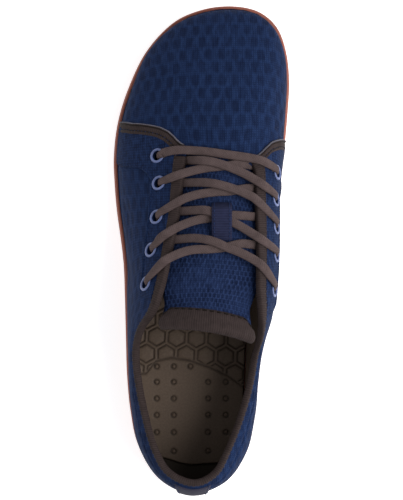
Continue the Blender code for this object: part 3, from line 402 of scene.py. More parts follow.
def last_at(station):
    """Rows of the last at fractional stations, round its closed outline."""
    station = np.asarray(station, float)
    first = np.floor(station).astype(int)
    rows = [LAST_ROWS[(first + step) % COUNT] for step in (-1, 0, 1, 2)]
    return through(*rows, (station - first)[..., None])


def smooth_line(points, step):
    """Points about this far apart on a smooth curve through the given ones."""
    points = np.asarray(points, float)
    ends = np.vstack((2 * points[0] - points[1], points, 2 * points[-1] - points[-2]))
    found = []
    for i in range(len(points) - 1):
        count = max(2, int(np.linalg.norm(points[i + 1] - points[i]) / step))
        f = np.arange(count)[:, None] / count
        found.append(through(*ends[i : i + 4], f))
    return np.vstack(found + [points[-1:]])


def table_at(table, place):
    places, values = zip(*sorted(table))
    return np.interp(place, places, values)


def spring(y):
    """Lift of the sole towards the toe tip."""
    return TOE_SPRING * np.maximum(0.0, (y - SPRING_START) / (SPRING_END - SPRING_START)) ** 2


def sole_edge(station, inset=0.0, waves=True):
    """Points of the sole's outline in plan, moved in by a distance."""
    station = np.asarray(station, float)
    row = last_at(station)
    along = unit(last_at(station + 0.05)[..., :2] - last_at(station - 0.05)[..., :2])
    inward = np.stack((along[..., 1], -along[..., 0]), axis=-1)
    wave = np.zeros(station.shape)
    if waves:
        for place, depth, half in ARCH_WAVES:
            wave += np.where(row[..., 0] > 0, depth * np.exp(-(((row[..., 1] - place) / half) ** 2)), 0.0)
    return row[..., :2] + inward * (inset + wave)[..., None]


def bend(start, pull, end, share):
    """Points of the arc from start to end that leaves towards the pull point."""
    return start * (1 - share) ** 2 + pull * 2 * share * (1 - share) + end * share**2


def wall(station, rise):
    """Outer face of the upper: up inside the sole's lip, out to the widest point, in to the topline."""
    station, rise = np.broadcast_arrays(np.asarray(station, float), np.asarray(rise, float))
    row = last_at(station)
    edge = sole_edge(station, np.full(station.shape, LIP_WALL + GAP))
    lift = spring(edge[..., 1])
    foot = np.stack((edge[..., 0], edge[..., 1], FLOOR + GAP + lift), axis=-1)
    lip = foot.copy()
    lip[..., 2] = row[..., 2] + GAP + lift
    wide, top = row[..., 3:6], row[..., 6:9]
    low_pull, high_pull = wide.copy(), wide.copy()
    low_pull[..., 2] = mix(lip[..., 2], wide[..., 2], 0.4)
    high_pull[..., 2] = mix(wide[..., 2], top[..., 2], row[..., 9])
    rise = rise[..., None]
    low = bend(lip, low_pull, wide, (rise - RISE_LIP) / (RISE_WIDE - RISE_LIP))
    high = bend(wide, high_pull, top, (rise - RISE_WIDE) / (1 - RISE_WIDE))
    return np.where(rise <= RISE_LIP, mix(foot, lip, rise / RISE_LIP), np.where(rise <= RISE_WIDE, low, high))


def wall_normal(station, rise):
    rise = np.asarray(rise, float)
    up = wall(station, np.minimum(rise + 0.02, 1.0)) - wall(station, np.maximum(rise - 0.02, 0.0))
    around = wall(np.asarray(station) + 0.04, rise) - wall(np.asarray(station) - 0.04, rise)
    return unit(np.cross(up, around))


def skin(station, rise, out):
    """The upper's face moved out along its normal."""
    return wall(station, rise) + wall_normal(station, rise) * np.asarray(out, float)[..., None]


def rise_below_top(stations, distances):
    """Share of the wall's height that lies this far down from the topline, at each station."""
    stations, distances = np.broadcast_arrays(np.asarray(stations, float), np.asarray(distances, float))
    rises = np.linspace(1.0, RISE_LIP + 0.02, 70)
    lines = walked(wall(stations.ravel()[:, None], rises))
    found = [np.interp(distance, line, rises) for distance, line in zip(distances.ravel(), lines)]
    return np.array(found).reshape(stations.shape)


def below_top(station, distance, out):
    """Points off the wall at a distance down from the topline, past it where that is negative."""
    station, distance = np.broadcast_arrays(np.asarray(station, float), np.asarray(distance, float))
    rise = rise_below_top(station, np.maximum(distance, 0.0))
    up = unit(wall(station, 1.0) - wall(station, 0.97))
    return skin(station, rise, out) + up * np.maximum(-distance, 0.0)[..., None]


def tongue_face(along, across):
    """Tongue's upper face: along runs 0 to 1 from vamp to top, across -1 to 1 from outer to inner edge."""
    along, across = np.broadcast_arrays(np.asarray(along, float), np.asarray(across, float))
    last = len(TONGUE_ROWS) - 1
    place = along * last
    first = np.clip(place.astype(int), 0, last - 1)
    rows = [TONGUE_ROWS[np.clip(first + step, 0, last)] for step in (-1, 0, 1, 2)]
    section = through(*rows, (place - first)[..., None, None])
    c = across[..., None]
    outer, crown, inner = (section[..., part, :] for part in range(3))
    return outer * c * (c - 1) / 2 + crown * (1 - c * c) + inner * c * (c + 1) / 2


def tongue_normal(along, across):
    along, across = np.asarray(along, float), np.asarray(across, float)
    ahead, behind = np.minimum(along + 0.01, 1.0), np.maximum(along - 0.01, 0.0)
    lengthways = tongue_face(ahead, across) - tongue_face(behind, across)
    crossways = tongue_face(along, across + 0.02) - tongue_face(along, across - 0.02)
    return unit(np.cross(crossways, lengthways)) * -1


def tongue_at(along, across, down):
    """Points this far below the tongue's face."""
    return tongue_face(along, across) - tongue_normal(along, across) * np.asarray(down, float)[..., None]


def crease_relief(points):
    """How far each point of the upper moves in or out for the soft creases."""
    relief = np.zeros(points.shape[:-1])
    for start, end, depth, half in CREASES:
        start, along = np.array(start), np.subtract(end, start)
        share = np.clip((points - start) @ along / (along @ along), 0, 1)
        away = np.linalg.norm(points - (start + share[..., None] * along), axis=-1)
        relief += depth * np.exp(-((away / half) ** 2)) * np.sin(np.pi * mix(0.1, 0.9, share))
    return relief


def node(tree, kind, inputs=(), **settings):
    """Adds a node: settings fill its fields, inputs its sockets, by name or in order."""
    made = tree.nodes.new(kind)
    for name, value in settings.items():
        setattr(made, name, value)
    given = inputs if isinstance(inputs, dict) else dict(enumerate(inputs))
    for key, value in given.items():
        if isinstance(value, bpy.types.Node):
            value = value.outputs[0]
        if isinstance(value, bpy.types.NodeSocket):
            tree.links.new(value, made.inputs[key])
        else:
            made.inputs[key].default_value = value
    return made


def start_surface(name, roughness, gloss=0.06, coat=0.0):
    """Material with a bare Principled shader, its tree and the shader."""
    made = bpy.data.materials.new(name)
    made.use_nodes = True
    tree = made.node_tree
    shader = tree.nodes["Principled BSDF"]
    shader.inputs["Roughness"].default_value = roughness
    shader.inputs["Specular IOR Level"].default_value = gloss
    shader.inputs["Coat Weight"].default_value = coat
    return made, tree, shader


def end_surface(tree, shader, tones, share, height, depth, strength):
    """Colours a shader between two tones by a share, and raises its face by a height of some depth."""
    dark, light = tones
    colour = node(tree, "ShaderNodeMix", {0: share, 6: (*dark, 1.0), 7: (*light, 1.0)}, data_type="RGBA")
    tree.links.new(colour.outputs[2], shader.inputs["Base Color"])
    bump = node(tree, "ShaderNodeBump", {"Height": height, "Distance": depth * MM, "Strength": strength})
    tree.links.new(bump.outputs[0], shader.inputs["Normal"])


def two_tones(colour, dark, light):
    """Darker and lighter tone of a linear colour."""
    return [c * dark for c in colour], [min(1.0, c * light) for c in colour]


def streaks(tree, place, squeeze, count, detail):
    """Noise drawn out along the shoe."""
    drawn_out = node(tree, "ShaderNodeMapping", {"Vector": place, "Scale": (1.0, squeeze, 1.0)})
    return node(tree, NOISE, {"Vector": drawn_out, "Scale": count / MM, "Detail": detail})


def oval_cells(tree, place, width, length, fill):
    """Mask of staggered oval cells: 1 in the middle of a cell, 0 on the web between cells."""
    x, y = node(tree, "ShaderNodeSeparateXYZ", (place,)).outputs[:2]
    row = node(tree, MATH, (y, length), operation="DIVIDE")
    whole = node(tree, MATH, (row,), operation="FLOOR")
    shift = node(tree, MATH, (whole, 0.5), operation="MULTIPLY")
    column = node(tree, MATH, (x, 1 / width, shift), operation="MULTIPLY_ADD")
    parts = [node(tree, MATH, (count,), operation="FRACT") for count in (column, row)]
    spot = node(tree, "ShaderNodeCombineXYZ", parts)
    centred = node(tree, VECTOR_MATH, (spot, (0.5, 0.5, 0.0)), operation="SUBTRACT")
    scaled = node(tree, VECTOR_MATH, (centred, (1 / fill[0], 1 / fill[1], 0.0)), operation="MULTIPLY")
    squared = node(tree, VECTOR_MATH, (scaled, scaled), operation="MULTIPLY")
    reach = node(tree, VECTOR_MATH, (squared,), operation="LENGTH").outputs["Value"]
    return node(tree, MAP_RANGE, (reach, 1.5, 0.35), interpolation_type="SMOOTHSTEP")


def knit(tree, place, pitch):
    """Height of a fine knit: rows of loops in two directions."""
    inputs = {"Vector": place, "Scale": WAVE_LENGTH / (pitch * MM), "Distortion": 1.2, "Detail": 1.0}
    rows = [node(tree, WAVE, inputs, bands_direction=way).outputs["Fac"] for way in "XY"]
    return node(tree, MATH, rows, operation="MULTIPLY")


def mesh_cloth(name, dark, light, width, length, fill, depth):
    """Polyester air mesh, warp knitted in two layers: matt, its hollows darkened for the dark back and as
    painted shade.
    """
    made, tree, shader = start_surface(name, 0.85)
    place = node(tree, "ShaderNodeUVMap", uv_map="unrolled")
    # Cells are dark partly for the dark back layer and partly as painted shade in their recess
    hollow = oval_cells(tree, place, width, length, fill)
    # Loops of 0.6 mm would be finer than the picture, so they are drawn at 1.3 mm
    loops = knit(tree, place, MESH_LOOP)
    uneven = streaks(tree, place, 0.35, MESH_STREAKS, 2.0)
    lifted = node(tree, MATH, (loops, 0.35, uneven), operation="MULTIPLY_ADD")
    web = node(tree, MAP_RANGE, (lifted, 0.32, 0.85, 0.25, 0.95))
    patches = node(tree, NOISE, {"Vector": place, "Scale": MESH_PATCHES / MM, "Detail": 3.0})
    worn = node(tree, MAP_RANGE, (patches, 0.35, 0.65, *depth))
    opened = node(tree, MATH, (hollow, worn), operation="MULTIPLY")
    kept = node(tree, MATH, (1.0, opened), operation="SUBTRACT")
    share = node(tree, MATH, (web, kept), operation="MULTIPLY")
    raised = node(tree, MATH, (kept, 0.7), operation="MULTIPLY")
    height = node(tree, MATH, (loops, 0.3, raised), operation="MULTIPLY_ADD")
    end_surface(tree, shader, (dark, light), share, height, 0.6, 0.8)
    return made


def panel_cloth(name, dark, light):
    """Dense polyester knit over foam: matt navy, with short uneven rows of loops."""
    made, tree, shader = start_surface(name, 0.8)
    place = node(tree, "ShaderNodeUVMap", uv_map="unrolled")
    loops = knit(tree, place, PANEL_LOOP)
    uneven = streaks(tree, place, 0.5, PANEL_STREAKS, 3.0)
    lifted = node(tree, MATH, (loops, 0.3, uneven), operation="MULTIPLY_ADD")
    share = node(tree, MAP_RANGE, (lifted, 0.35, 0.85, 0.05, 0.9))
    end_surface(tree, shader, (dark, light), share, share, 0.3, 0.6)
    return made


def ribbed_tape(name, colour, pitch):
    """Woven grosgrain tape of polyester: fine ribs across its length that catch the light."""
    made, tree, shader = start_surface(name, 0.75)
    place = node(tree, "ShaderNodeUVMap", uv_map="unrolled")
    inputs = {"Vector": place, "Scale": WAVE_LENGTH / (pitch * MM), "Distortion": 0.4, "Detail": 2.0}
    ribs = node(tree, WAVE, inputs, bands_direction="X").outputs["Fac"]
    grain = node(tree, NOISE, {"Vector": place, "Scale": TAPE_GRAINS / MM, "Detail": 4.0})
    share = node(tree, MATH, (ribs, 0.45, grain), operation="MULTIPLY_ADD")
    end_surface(tree, shader, two_tones(colour, 0.5, 1.35), share, share, 0.4, 0.7)
    return made


def braided_lace(name, colour):
    """Flat braid of spun polyester: slanted strands that meet in a ridge along the middle."""
    made, tree, shader = start_surface(name, 0.8)
    place = node(tree, "ShaderNodeUVMap", uv_map="unrolled")
    along, across = node(tree, "ShaderNodeSeparateXYZ", (place,)).outputs[:2]
    aside = node(tree, MATH, (across,), operation="ABSOLUTE")
    slanted = node(tree, MATH, (aside, 1.2, along), operation="MULTIPLY_ADD")
    line = node(tree, "ShaderNodeCombineXYZ", (slanted, across))
    # Braid strands of 0.8 mm are drawn at 1.5 mm so that they show
    inputs = {"Vector": line, "Scale": WAVE_LENGTH / (LACE_STRAND * MM), "Distortion": 0.5, "Detail": 2.0}
    strands = node(tree, WAVE, inputs, bands_direction="X").outputs["Fac"]
    grain = node(tree, NOISE, {"Vector": place, "Scale": LACE_GRAINS / MM, "Detail": 4.0})
    share = node(tree, MATH, (strands, 0.4, grain), operation="MULTIPLY_ADD")
    end_surface(tree, shader, two_tones(colour, 0.6, 1.35), share, share, 0.4, 0.7)
    return made


def footbed_foam(name, colour):
    """Die-moulded EVA foam: closed skin with a faint pebble, painted shade in its hollows, painted shadow at
    its end.
    """
    made, tree, shader = start_surface(name, 0.6, gloss=0.15)
    place = node(tree, "ShaderNodeTexCoord").outputs["Object"]
    pebble = node(tree, NOISE, {"Vector": place, "Scale": FOAM_PEBBLES / MM, "Detail": 3.0})
    # The groove values are painted shade in grooves, border and dimples, and painted shadow behind the foam's
    # end
    groove = node(tree, "ShaderNodeAttribute", attribute_name="groove").outputs["Fac"]
    light = node(tree, MAP_RANGE, (groove, 0.0, 1.0, 1.0, 0.1))
    speckle = node(tree, MAP_RANGE, (pebble, 0.3, 0.7, 0.8, 1.0))
    share = node(tree, MATH, (light, speckle), operation="MULTIPLY")
    end_surface(tree, shader, two_tones(colour, 0.15, 1.0), share, pebble, 0.2, 0.5)
    return made


def gum_rubber(name, colour):
    """Moulded natural gum rubber: warm translucent brown, satin, with a fine mould grain and dimpled pads,
    painted shade in their dimples.
    """
    made, tree, shader = start_surface(name, 0.5, gloss=0.25, coat=0.05)
    place = node(tree, "ShaderNodeTexCoord").outputs["Object"]
    grain = node(tree, NOISE, {"Vector": place, "Scale": RUBBER_GRAINS / MM, "Detail": 3.0})
    clouds = node(tree, NOISE, {"Vector": place, "Scale": RUBBER_CLOUDS / MM, "Detail": 3.0})
    first_pad = ((ORIGIN[0] + PAD_PITCH / 2) * MM, (ORIGIN[1] - PAD_START + PAD_ROW / 2) * MM, 0.0)
    shifted = node(tree, "ShaderNodeMapping", {"Vector": place, "Location": first_pad})
    dimple = oval_cells(tree, shifted, PAD_PITCH * MM, PAD_ROW * MM, (0.14, 0.154))
    normal = node(tree, "ShaderNodeNewGeometry").outputs["Normal"]
    upward = node(tree, "ShaderNodeSeparateXYZ", (normal,)).outputs[2]
    tread = node(tree, MATH, (upward, -0.8), operation="LESS_THAN")
    pit = node(tree, MATH, (dimple, tread), operation="MULTIPLY")
    speckle = node(tree, MATH, (grain, 0.3, clouds), operation="MULTIPLY_ADD")
    # Dimples of the tread pads are darkened as painted shade in their hollow
    share = node(tree, MATH, (speckle, pit), operation="SUBTRACT")
    unpitted = node(tree, MATH, (1.0, pit), operation="SUBTRACT")
    height = node(tree, MATH, (grain, 0.15, unpitted), operation="MULTIPLY_ADD")
    end_surface(tree, shader, two_tones(colour, 0.62, 1.12), share, height, 0.6, 0.6)
    shader.inputs["Subsurface Weight"].default_value = 0.08
    shader.inputs["Subsurface Radius"].default_value = (0.004, 0.0015, 0.0008)
    return made


def fibre(name, colour, roughness=0.7, gloss=0.1, count=FIBRE_GRAINS):
    """Spun or coated fibre of one colour with a fine uneven grain: thread, lining, eyelet coating."""
    made, tree, shader = start_surface(name, roughness, gloss)
    place = node(tree, "ShaderNodeTexCoord").outputs["Object"]
    grain = node(tree, NOISE, {"Vector": place, "Scale": count / MM, "Detail": 3.0})
    end_surface(tree, shader, two_tones(colour, 0.7, 1.25), grain, grain, 0.2, 0.6)
    return made


def finishes():
    """How each finish is made: its function and what that takes after the name."""
    sizes, colours = bpy.context.scene.shoe_sizes, bpy.context.scene.shoe_colours
    navy, hollow, wide, long = colours.navy, colours.navy_dark, sizes.mesh_width, sizes.mesh_length
    return {
        "navy_air_mesh": (mesh_cloth, hollow, navy, wide, long, (0.28, 0.43), (0.62, 0.34)),
        "navy_tongue_mesh": (
            mesh_cloth, hollow, colours.tongue, wide * 0.3, long * 0.36, (0.32, 0.42), (0.85, 0.1)),
        "navy_knit_panel": (panel_cloth, hollow, navy),
        "brown_grosgrain": (ribbed_tape, colours.tape, TAPE_RIB),
        # Grey painted highlight on the front of the quarter tapes' fold
        "grey_piping": (ribbed_tape, linear("54535c"), TAPE_RIB),
        "woven_webbing": (ribbed_tape, colours.webbing, WEBBING_RIB),
        "heel_webbing_weave": (ribbed_tape, linear("2e2d39"), WEBBING_RIB),
        "brown_lace_braid": (braided_lace, colours.lace),
        "brown_eva_foam": (footbed_foam, colours.footbed),
        "moulded_gum": (gum_rubber, colours.gum),
        "dark_tricot_lining": (fibre, colours.lining, 0.9, 0.05, LINING_GRAINS),
        "coated_eyelet": (fibre, colours.eyelet, 0.45, 0.4),
        # Dark thread of the stitches, also the painted shade in the quarter tapes' groove
        "dark_thread": (fibre, linear("17120f")),
        "brown_thread": (fibre, linear("352c2a")),
        "navy_thread": (fibre, linear("1b2848")),
    }


def surface(name):
    """The named finish, made once."""
    found = bpy.data.materials.get(name)
    if found:
        return found
    make, *values = finishes()[name]
    return make(name, *values)


def linked(name, data):
    """Object of this data in the scene, at the scene's zero."""
    obj = bpy.data.objects.new(name, data)
    bpy.context.scene.collection.objects.link(obj)
    return obj


def shape(name, points, finish, uv=None, face_finish=None, values=None, faces=None, closed=False):
    """Closed object with its place in its mesh, lofted through rings of points in millimetres on the last."""
    mesh = bpy.data.meshes.new(name)
    places = (np.reshape(points, (-1, 3)) - ORIGIN) * MM
    faces = faces or loft_faces(*points.shape[:2], closed)
    mesh.from_pydata(places.tolist(), [], faces)
    for material in finish:
        mesh.materials.append(surface(material))
    if face_finish is not None:
        mesh.polygons.foreach_set("material_index", np.asarray(face_finish, np.int32))
    if uv is not None:
        corners = np.empty(len(mesh.loops), np.int32)
        mesh.loops.foreach_get("vertex_index", corners)
        layer = mesh.uv_layers.new(name="unrolled")
        layer.data.foreach_set("uv", (np.reshape(uv, (-1, 2)) * MM)[corners].ravel())
    for key, value in (values or {}).items():
        mesh.attributes.new(key, "FLOAT", "POINT").data.foreach_set("value", np.asarray(value, np.float32))
    bm = bmesh.new()
    bm.from_mesh(mesh)
    bmesh.ops.recalc_face_normals(bm, faces=bm.faces)
    bm.to_mesh(mesh)
    bm.free()
    mesh.polygons.foreach_set("use_smooth", np.ones(len(mesh.polygons), bool))
    return linked(name, mesh)


def loft_faces(count, size, closed=False):
    """Quads between a loft's rings, each a closed loop of this size, with end faces unless it closes."""
    rings = np.arange(count * size).reshape(count, size)
    near, far = (rings, np.roll(rings, -1, axis=0)) if closed else (rings[:-1], rings[1:])
    quads = np.stack((near, np.roll(near, -1, axis=1), np.roll(far, -1, axis=1), far), axis=-1).reshape(-1, 4)
    faces = quads.tolist()
    if not closed:
        faces += [rings[0].tolist(), rings[-1].tolist()]
    return faces


def walked(points):
    """Distance along each line of points, from its first."""
    steps = np.linalg.norm(np.diff(points, axis=-2), axis=-1)
    return np.concatenate((np.zeros((*steps.shape[:-1], 1)), np.cumsum(steps, axis=-1)), axis=-1)


def tape_uv(points, middle):
    """Tape unrolled: the way along one of its lines and the way round its section."""
    reach = walked(points)
    return np.dstack((np.broadcast_to(walked(points[:, middle])[:, None], reach.shape), reach))


def cloth_uv(station, depth):
    """Cloth laid flat: from the topline in plan, outwards by the way down the wall."""
    row = last_at(station)
    return row[..., 6:8] + unit(row[..., 3:5] - row[..., 6:8]) * depth[..., None]


def apply_modifiers(obj):
    """Gives an object the mesh that its modifiers make, and clears them."""
    graph = bpy.context.evaluated_depsgraph_get()
    made = bpy.data.meshes.new_from_object(obj.evaluated_get(graph))
    obj.modifiers.clear()
    obj.data = made


def cut(obj, cutter):
    """Takes the cutter's volume out of an object and removes the cutter."""
    modifier = obj.modifiers.new("Cut", "BOOLEAN")
    modifier.object = cutter
    modifier.operation = "DIFFERENCE"
    modifier.solver = "EXACT"
    apply_modifiers(obj)
    bpy.data.objects.remove(cutter)


def place_piece(obj, slot, *nodes):
    """Puts a finished piece on the shoe's body in place of its solids."""
    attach(obj, "root")
    if nodes:
        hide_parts(*nodes)
    return obj


def eyelet_frames(side):
    """Middle of each eyelet on the upper's face and the directions out, level and up the wall about it."""
    station, down = np.array(EYELETS[side]).T
    rise = rise_below_top(station, down)
    out = wall_normal(station, rise)
    level = unit(np.cross(out, (0.0, 0.0, 1.0)))
    return wall(station, rise), out, level, np.cross(out, level) * -1


def eyelet_cutter(side):
    """Prisms through the cloth at each eyelet of a side."""
    turns = np.linspace(0, 2 * np.pi, 16, endpoint=False)
    points, faces = [], []
    for middle, out, level, upright in zip(*eyelet_frames(side)):
        circle = EYELET_HOLE * (np.cos(turns)[:, None] * level + np.sin(turns)[:, None] * upright)
        start = len(points)
        for height in CUTTER_ENDS:
            points.extend(middle + circle + out * height)
        faces += [[start + index for index in face] for face in loft_faces(2, len(turns))]
    return shape(f"holes_{side}", points, [], faces=faces)


class SHOE_OT_upper(bpy.types.Operator):
    """Mesh upper on the last, with its soft creases, collar seam and eyelet holes"""

    bl_idname = "shoe.upper"
    bl_label = "Upper"

    def execute(self, context):
        around = ALL_STATIONS[:, None]
        spans = ((0, 0.08, 3), (0.1, 0.3, 12), (0.315, 1, 46))
        rises = np.concatenate([np.linspace(*span) for span in spans])
        inner_rises = np.linspace(1, 0, 16)
        outer = wall(around, rises)
        down = walked(outer[:, ::-1])[:, ::-1]
        ridge = SEAM_RIDGE * np.exp(-(((down - SEAM_DOWN + SEAM_STEP) / SEAM_RIDGE_HALF) ** 2))
        ridge -= SEAM_GROOVE * np.exp(-(((down - SEAM_DOWN) / SEAM_GROOVE_HALF) ** 2))
        relief = crease_relief(outer) + np.interp(around, *zip(*SEAM_SHARE)) * ridge
        # The relief fades out at the sole's lip
        relief *= np.clip((rises - 0.1) / 0.08, 0, 1)
        outer = outer + wall_normal(around, rises) * relief[..., None]
        inner = skin(around, inner_rises, -WALL)
        inner[:, -1, 2] = outer[:, 0, 2]
        # The top of the vamp runs on rearward
        reach = VAMP_EDGE * np.interp(around, *zip(*VAMP_SHARE))
        rearward = unit(wall(around, 1.0) - wall(around, 0.95)) * reach[..., None]
        outer, inner = (
            sheet + rearward * np.clip((rise - 0.9) / 0.1, 0, 1)[:, None]
            for sheet, rise in ((outer, rises), (inner, inner_rises))
        )
        points = np.concatenate((outer, inner), axis=1)
        order = np.arange(points.shape[1])
        uv = cloth_uv(around, np.concatenate((down, walked(inner)), axis=1))
        lined = np.tile(order > len(rises) + 1, (len(points), 1)).astype(int)
        cupped = (ALL_STATIONS > CUP_ENDS[0]) & (ALL_STATIONS < CUP_ENDS[1])
        lined[np.ix_(cupped, order > len(order) - CUP_ROWS)] = 2
        finish = ["navy_air_mesh", "dark_tricot_lining", "brown_eva_foam"]
        obj = shape("upper_shell", points, finish, uv, lined.ravel(), closed=True)
        for side in EYELETS:
            cut(obj, eyelet_cutter(side))
        place_piece(obj, "navy_mesh", "upper")
        return {"FINISHED"}


class SHOE_OT_sole(bpy.types.Operator):
    """Gum rubber sole with its lip and tread"""

    bl_idname = "shoe.sole"
    bl_label = "Sole"

    def execute(self, context):
        bm = bmesh.new()
        bm.from_mesh(frame["nodes"]["outsole"].data)
        bmesh.ops.remove_doubles(bm, verts=bm.verts, dist=2e-6)
        for edge in bm.edges:
            edge.smooth = len(edge.link_faces) == 2 and edge.calc_face_angle(0.0) < SOLE_SHARP
        for face in bm.faces:
            face.smooth = True
        mesh = bpy.data.meshes.new("sole")
        bm.to_mesh(mesh)
        bm.free()
        mesh.materials.clear()
        mesh.materials.append(surface("moulded_gum"))
        place_piece(linked("sole", mesh), "gum_rubber", "outsole")
        self.rim()
        return {"FINISHED"}

    def rim(self):
        """Side and lip of the sole in one smooth band round the shoe."""
        lip = last_at(ALL_STATIONS)[:, 2]
        section = [(inset, np.full(len(lip), z)) for inset, z in RIM_SIDE]
        section += [(inset, lip + z) for inset, z in RIM_LIP]
        lines = []
        for inset, z in section:
            x, y = sole_edge(ALL_STATIONS, inset).T
            lines.append(np.column_stack((x, y, z + spring(y))))
        obj = shape("sole_rim", np.stack(lines, axis=1), ["moulded_gum"], closed=True)
        obj.data.set_sharp_from_angle(angle=RIM_SHARP)
        place_piece(obj, "gum_rubber")


def hex_distance(x, y):
    """Distance from the middle of the nearest honeycomb cell, measured towards its sides."""
    x, y = x - HEX_MIDDLE[0], y - HEX_MIDDLE[1]
    x, y = x * math.cos(HEX_TURN) + y * math.sin(HEX_TURN), y * math.cos(HEX_TURN) - x * math.sin(HEX_TURN)
    reaches = []
    for shift in (0, 0.5):
        dx = np.abs(x - (np.round(x / HEX_PITCH - shift) + shift) * HEX_PITCH)
        dy = np.abs(y - (np.round(y / (2 * HEX_ROW) - shift) + shift) * 2 * HEX_ROW)
        reaches.append(np.maximum(dx, dx / 2 + dy * math.sqrt(0.75)))
    return np.minimum(*reaches)


def soft_step(value, low, high):
    share = np.clip((value - low) / (high - low), 0, 1)
    return share**2 * (3 - 2 * share)


class SHOE_OT_insole(bpy.types.Operator):
    """Foam insole with its moulded honeycomb, smooth heel pad and nubs"""

    bl_idname = "shoe.insole"
    bl_label = "Insole"

    def execute(self, context):
        stations = np.arange(0, COUNT, 0.1)
        x, y = sole_edge(stations, waves=False).T
        arch = INSOLE_ARCH * np.exp(-(((y - INSOLE_ARCH_PLACE) / INSOLE_ARCH_HALF) ** 2))
        edge = sole_edge(stations, INSOLE_INSET + np.where(x > 0, arch, 0.0), waves=False)
        tail, tip = np.argmin(edge[:, 1]), np.argmax(edge[:, 1])
        ease = 0.5 - 0.5 * np.cos(np.linspace(0, np.pi, 9))
        # Rows lie closest where honeycomb and nubs show
        rows = np.concatenate((
            mix(edge[tail, 1] + 0.05, -128.0, ease[:-1] ** 2), np.linspace(-128, -30, 215),
            np.linspace(-28, 110, 70), mix(112.0, edge[tip, 1] - 0.05, np.sqrt(ease)),
        ))
        rows = np.unique(np.round(rows, 3))
        halves = edge[tail : tip + 1], np.vstack((edge[tip:], edge[: tail + 1]))[::-1]
        left, right = (np.interp(rows, *half[np.argsort(half[:, 1])].T[::-1])[:, None] for half in halves)
        across = np.linspace(0, 1, 140)
        px = mix(left, right, across)
        py = np.repeat(rows[:, None], len(across), axis=1)
        relief, painted_shade, behind = self.moulding(px, py)
        rim = np.minimum(across, 1 - across) * (right - left)
        rim = np.minimum(rim, np.minimum(rows - rows[0], rows[-1] - rows)[:, None])
        rounded = EDGE_DROP * (1 - np.sqrt(1 - (1 - np.clip(rim / EDGE_ROUND, 0, 1)) ** 2))
        relief -= np.maximum(rounded, END_DROP * behind)
        top = np.dstack((px, py, FLOOR + INSOLE + spring(py) + relief))
        low = np.dstack((px, py, FLOOR + GAP + spring(py)))[:, ::20]
        points = np.concatenate((top, low[:, ::-1]), axis=1)
        painted_shade = np.concatenate((painted_shade, np.zeros(low.shape[:2])), axis=1)
        # The foam's painted shade and painted shadow go to its material as the groove values
        obj = shape("footbed", points, ["brown_eva_foam"], values={"groove": painted_shade.ravel()})
        place_piece(obj, "brown_footbed", "insole")
        height = FLOOR + INSOLE - NUB_SUNK
        values = {"Radius": NUB_RADIUS * MM, "Height": NUB_HEIGHT * MM, "Finish": surface("brown_eva_foam")}
        nubs = grow("footbed_nubs", dot_tree(), [(x, y, height) for x, y in NUBS], values)
        place_piece(nubs, "brown_footbed")
        return {"FINISHED"}

    def moulding(self, px, py):
        """Relief of the foam's face, the painted shade at each point, and what lies behind the heel pad's
        end.
        """
        pad_line = np.interp(px, *zip(*HEEL_PAD_EDGE))
        in_comb = soft_step(py, pad_line + 0.6, pad_line + 1.6)
        reach = hex_distance(px, py)
        groove = soft_step(reach, *GROOVE_RISE) * (1 - soft_step(reach, *GROOVE_FALL))
        dome = CELL_DOME * (1 - soft_step(reach, *DOME_FALL))
        border = np.exp(-(((py - pad_line) / BORDER_HALF) ** 2))
        dimple = np.zeros(px.shape)
        for nub_x, nub_y in NUBS:
            away = np.hypot(px - nub_x, py - nub_y)
            dimple = np.maximum(dimple, 1 - soft_step(away, *DIMPLE_FALL))
        end_line = np.interp(px, *zip(*FOOTBED_END))
        behind = 1 - soft_step(py, end_line - 0.6, end_line + 0.4)
        relief = in_comb * (dome - GROOVE_DEPTH * groove) - BORDER_DEPTH * border - DIMPLE_DEPTH * dimple
        # Painted shade in groove, border and dimples, and the heel wall's painted shadow on the foam behind
        # its end
        painted_shade = GROOVE_SHADE * in_comb * groove + BORDER_SHADE * border + DIMPLE_SHADE * dimple + behind
        return relief, np.clip(painted_shade, 0, 1), behind


def start_tree(name, *numbers):
    """Geometry node tree with number inputs and a finish: the tree, its inputs by name and its output."""
    tree = bpy.data.node_groups.new(name, "GeometryNodeTree")
    inputs = {"Geometry": "Geometry", **dict.fromkeys(numbers, "Float"), "Finish": "Material"}
    for label, kind in inputs.items():
        tree.interface.new_socket(label, in_out="INPUT", socket_type=f"NodeSocket{kind}")
    tree.interface.new_socket("Geometry", in_out="OUTPUT", socket_type="NodeSocketGeometry")
    return tree, tree.nodes.new("NodeGroupInput").outputs, tree.nodes.new("NodeGroupOutput")


def end_tree(tree, given, output, points, piece, **turns):
    """Puts a piece on each point, makes the copies real and smooth and gives them their finish."""
    placed = node(tree, "GeometryNodeInstanceOnPoints", {"Points": points, "Instance": piece, **turns})
    real = node(tree, "GeometryNodeRealizeInstances", {0: placed})
    smooth = node(tree, "GeometryNodeSetShadeSmooth", {0: real})
    painted = node(tree, "GeometryNodeSetMaterial", {0: smooth, "Material": given["Finish"]})
    tree.links.new(painted.outputs[0], output.inputs[0])
    return tree


def facing(tree, along):
    """Rotation that turns Z to the seed's stored outward direction and X along a line."""
    out = node(tree, "GeometryNodeInputNamedAttribute", {"Name": "out"}, data_type="FLOAT_VECTOR")
    upright = node(tree, "FunctionNodeAlignRotationToVector", {"Vector": out}, axis="Z")
    inputs = {"Rotation": upright, "Vector": along}
    return node(tree, "FunctionNodeAlignRotationToVector", inputs, axis="X", pivot_axis="Z")


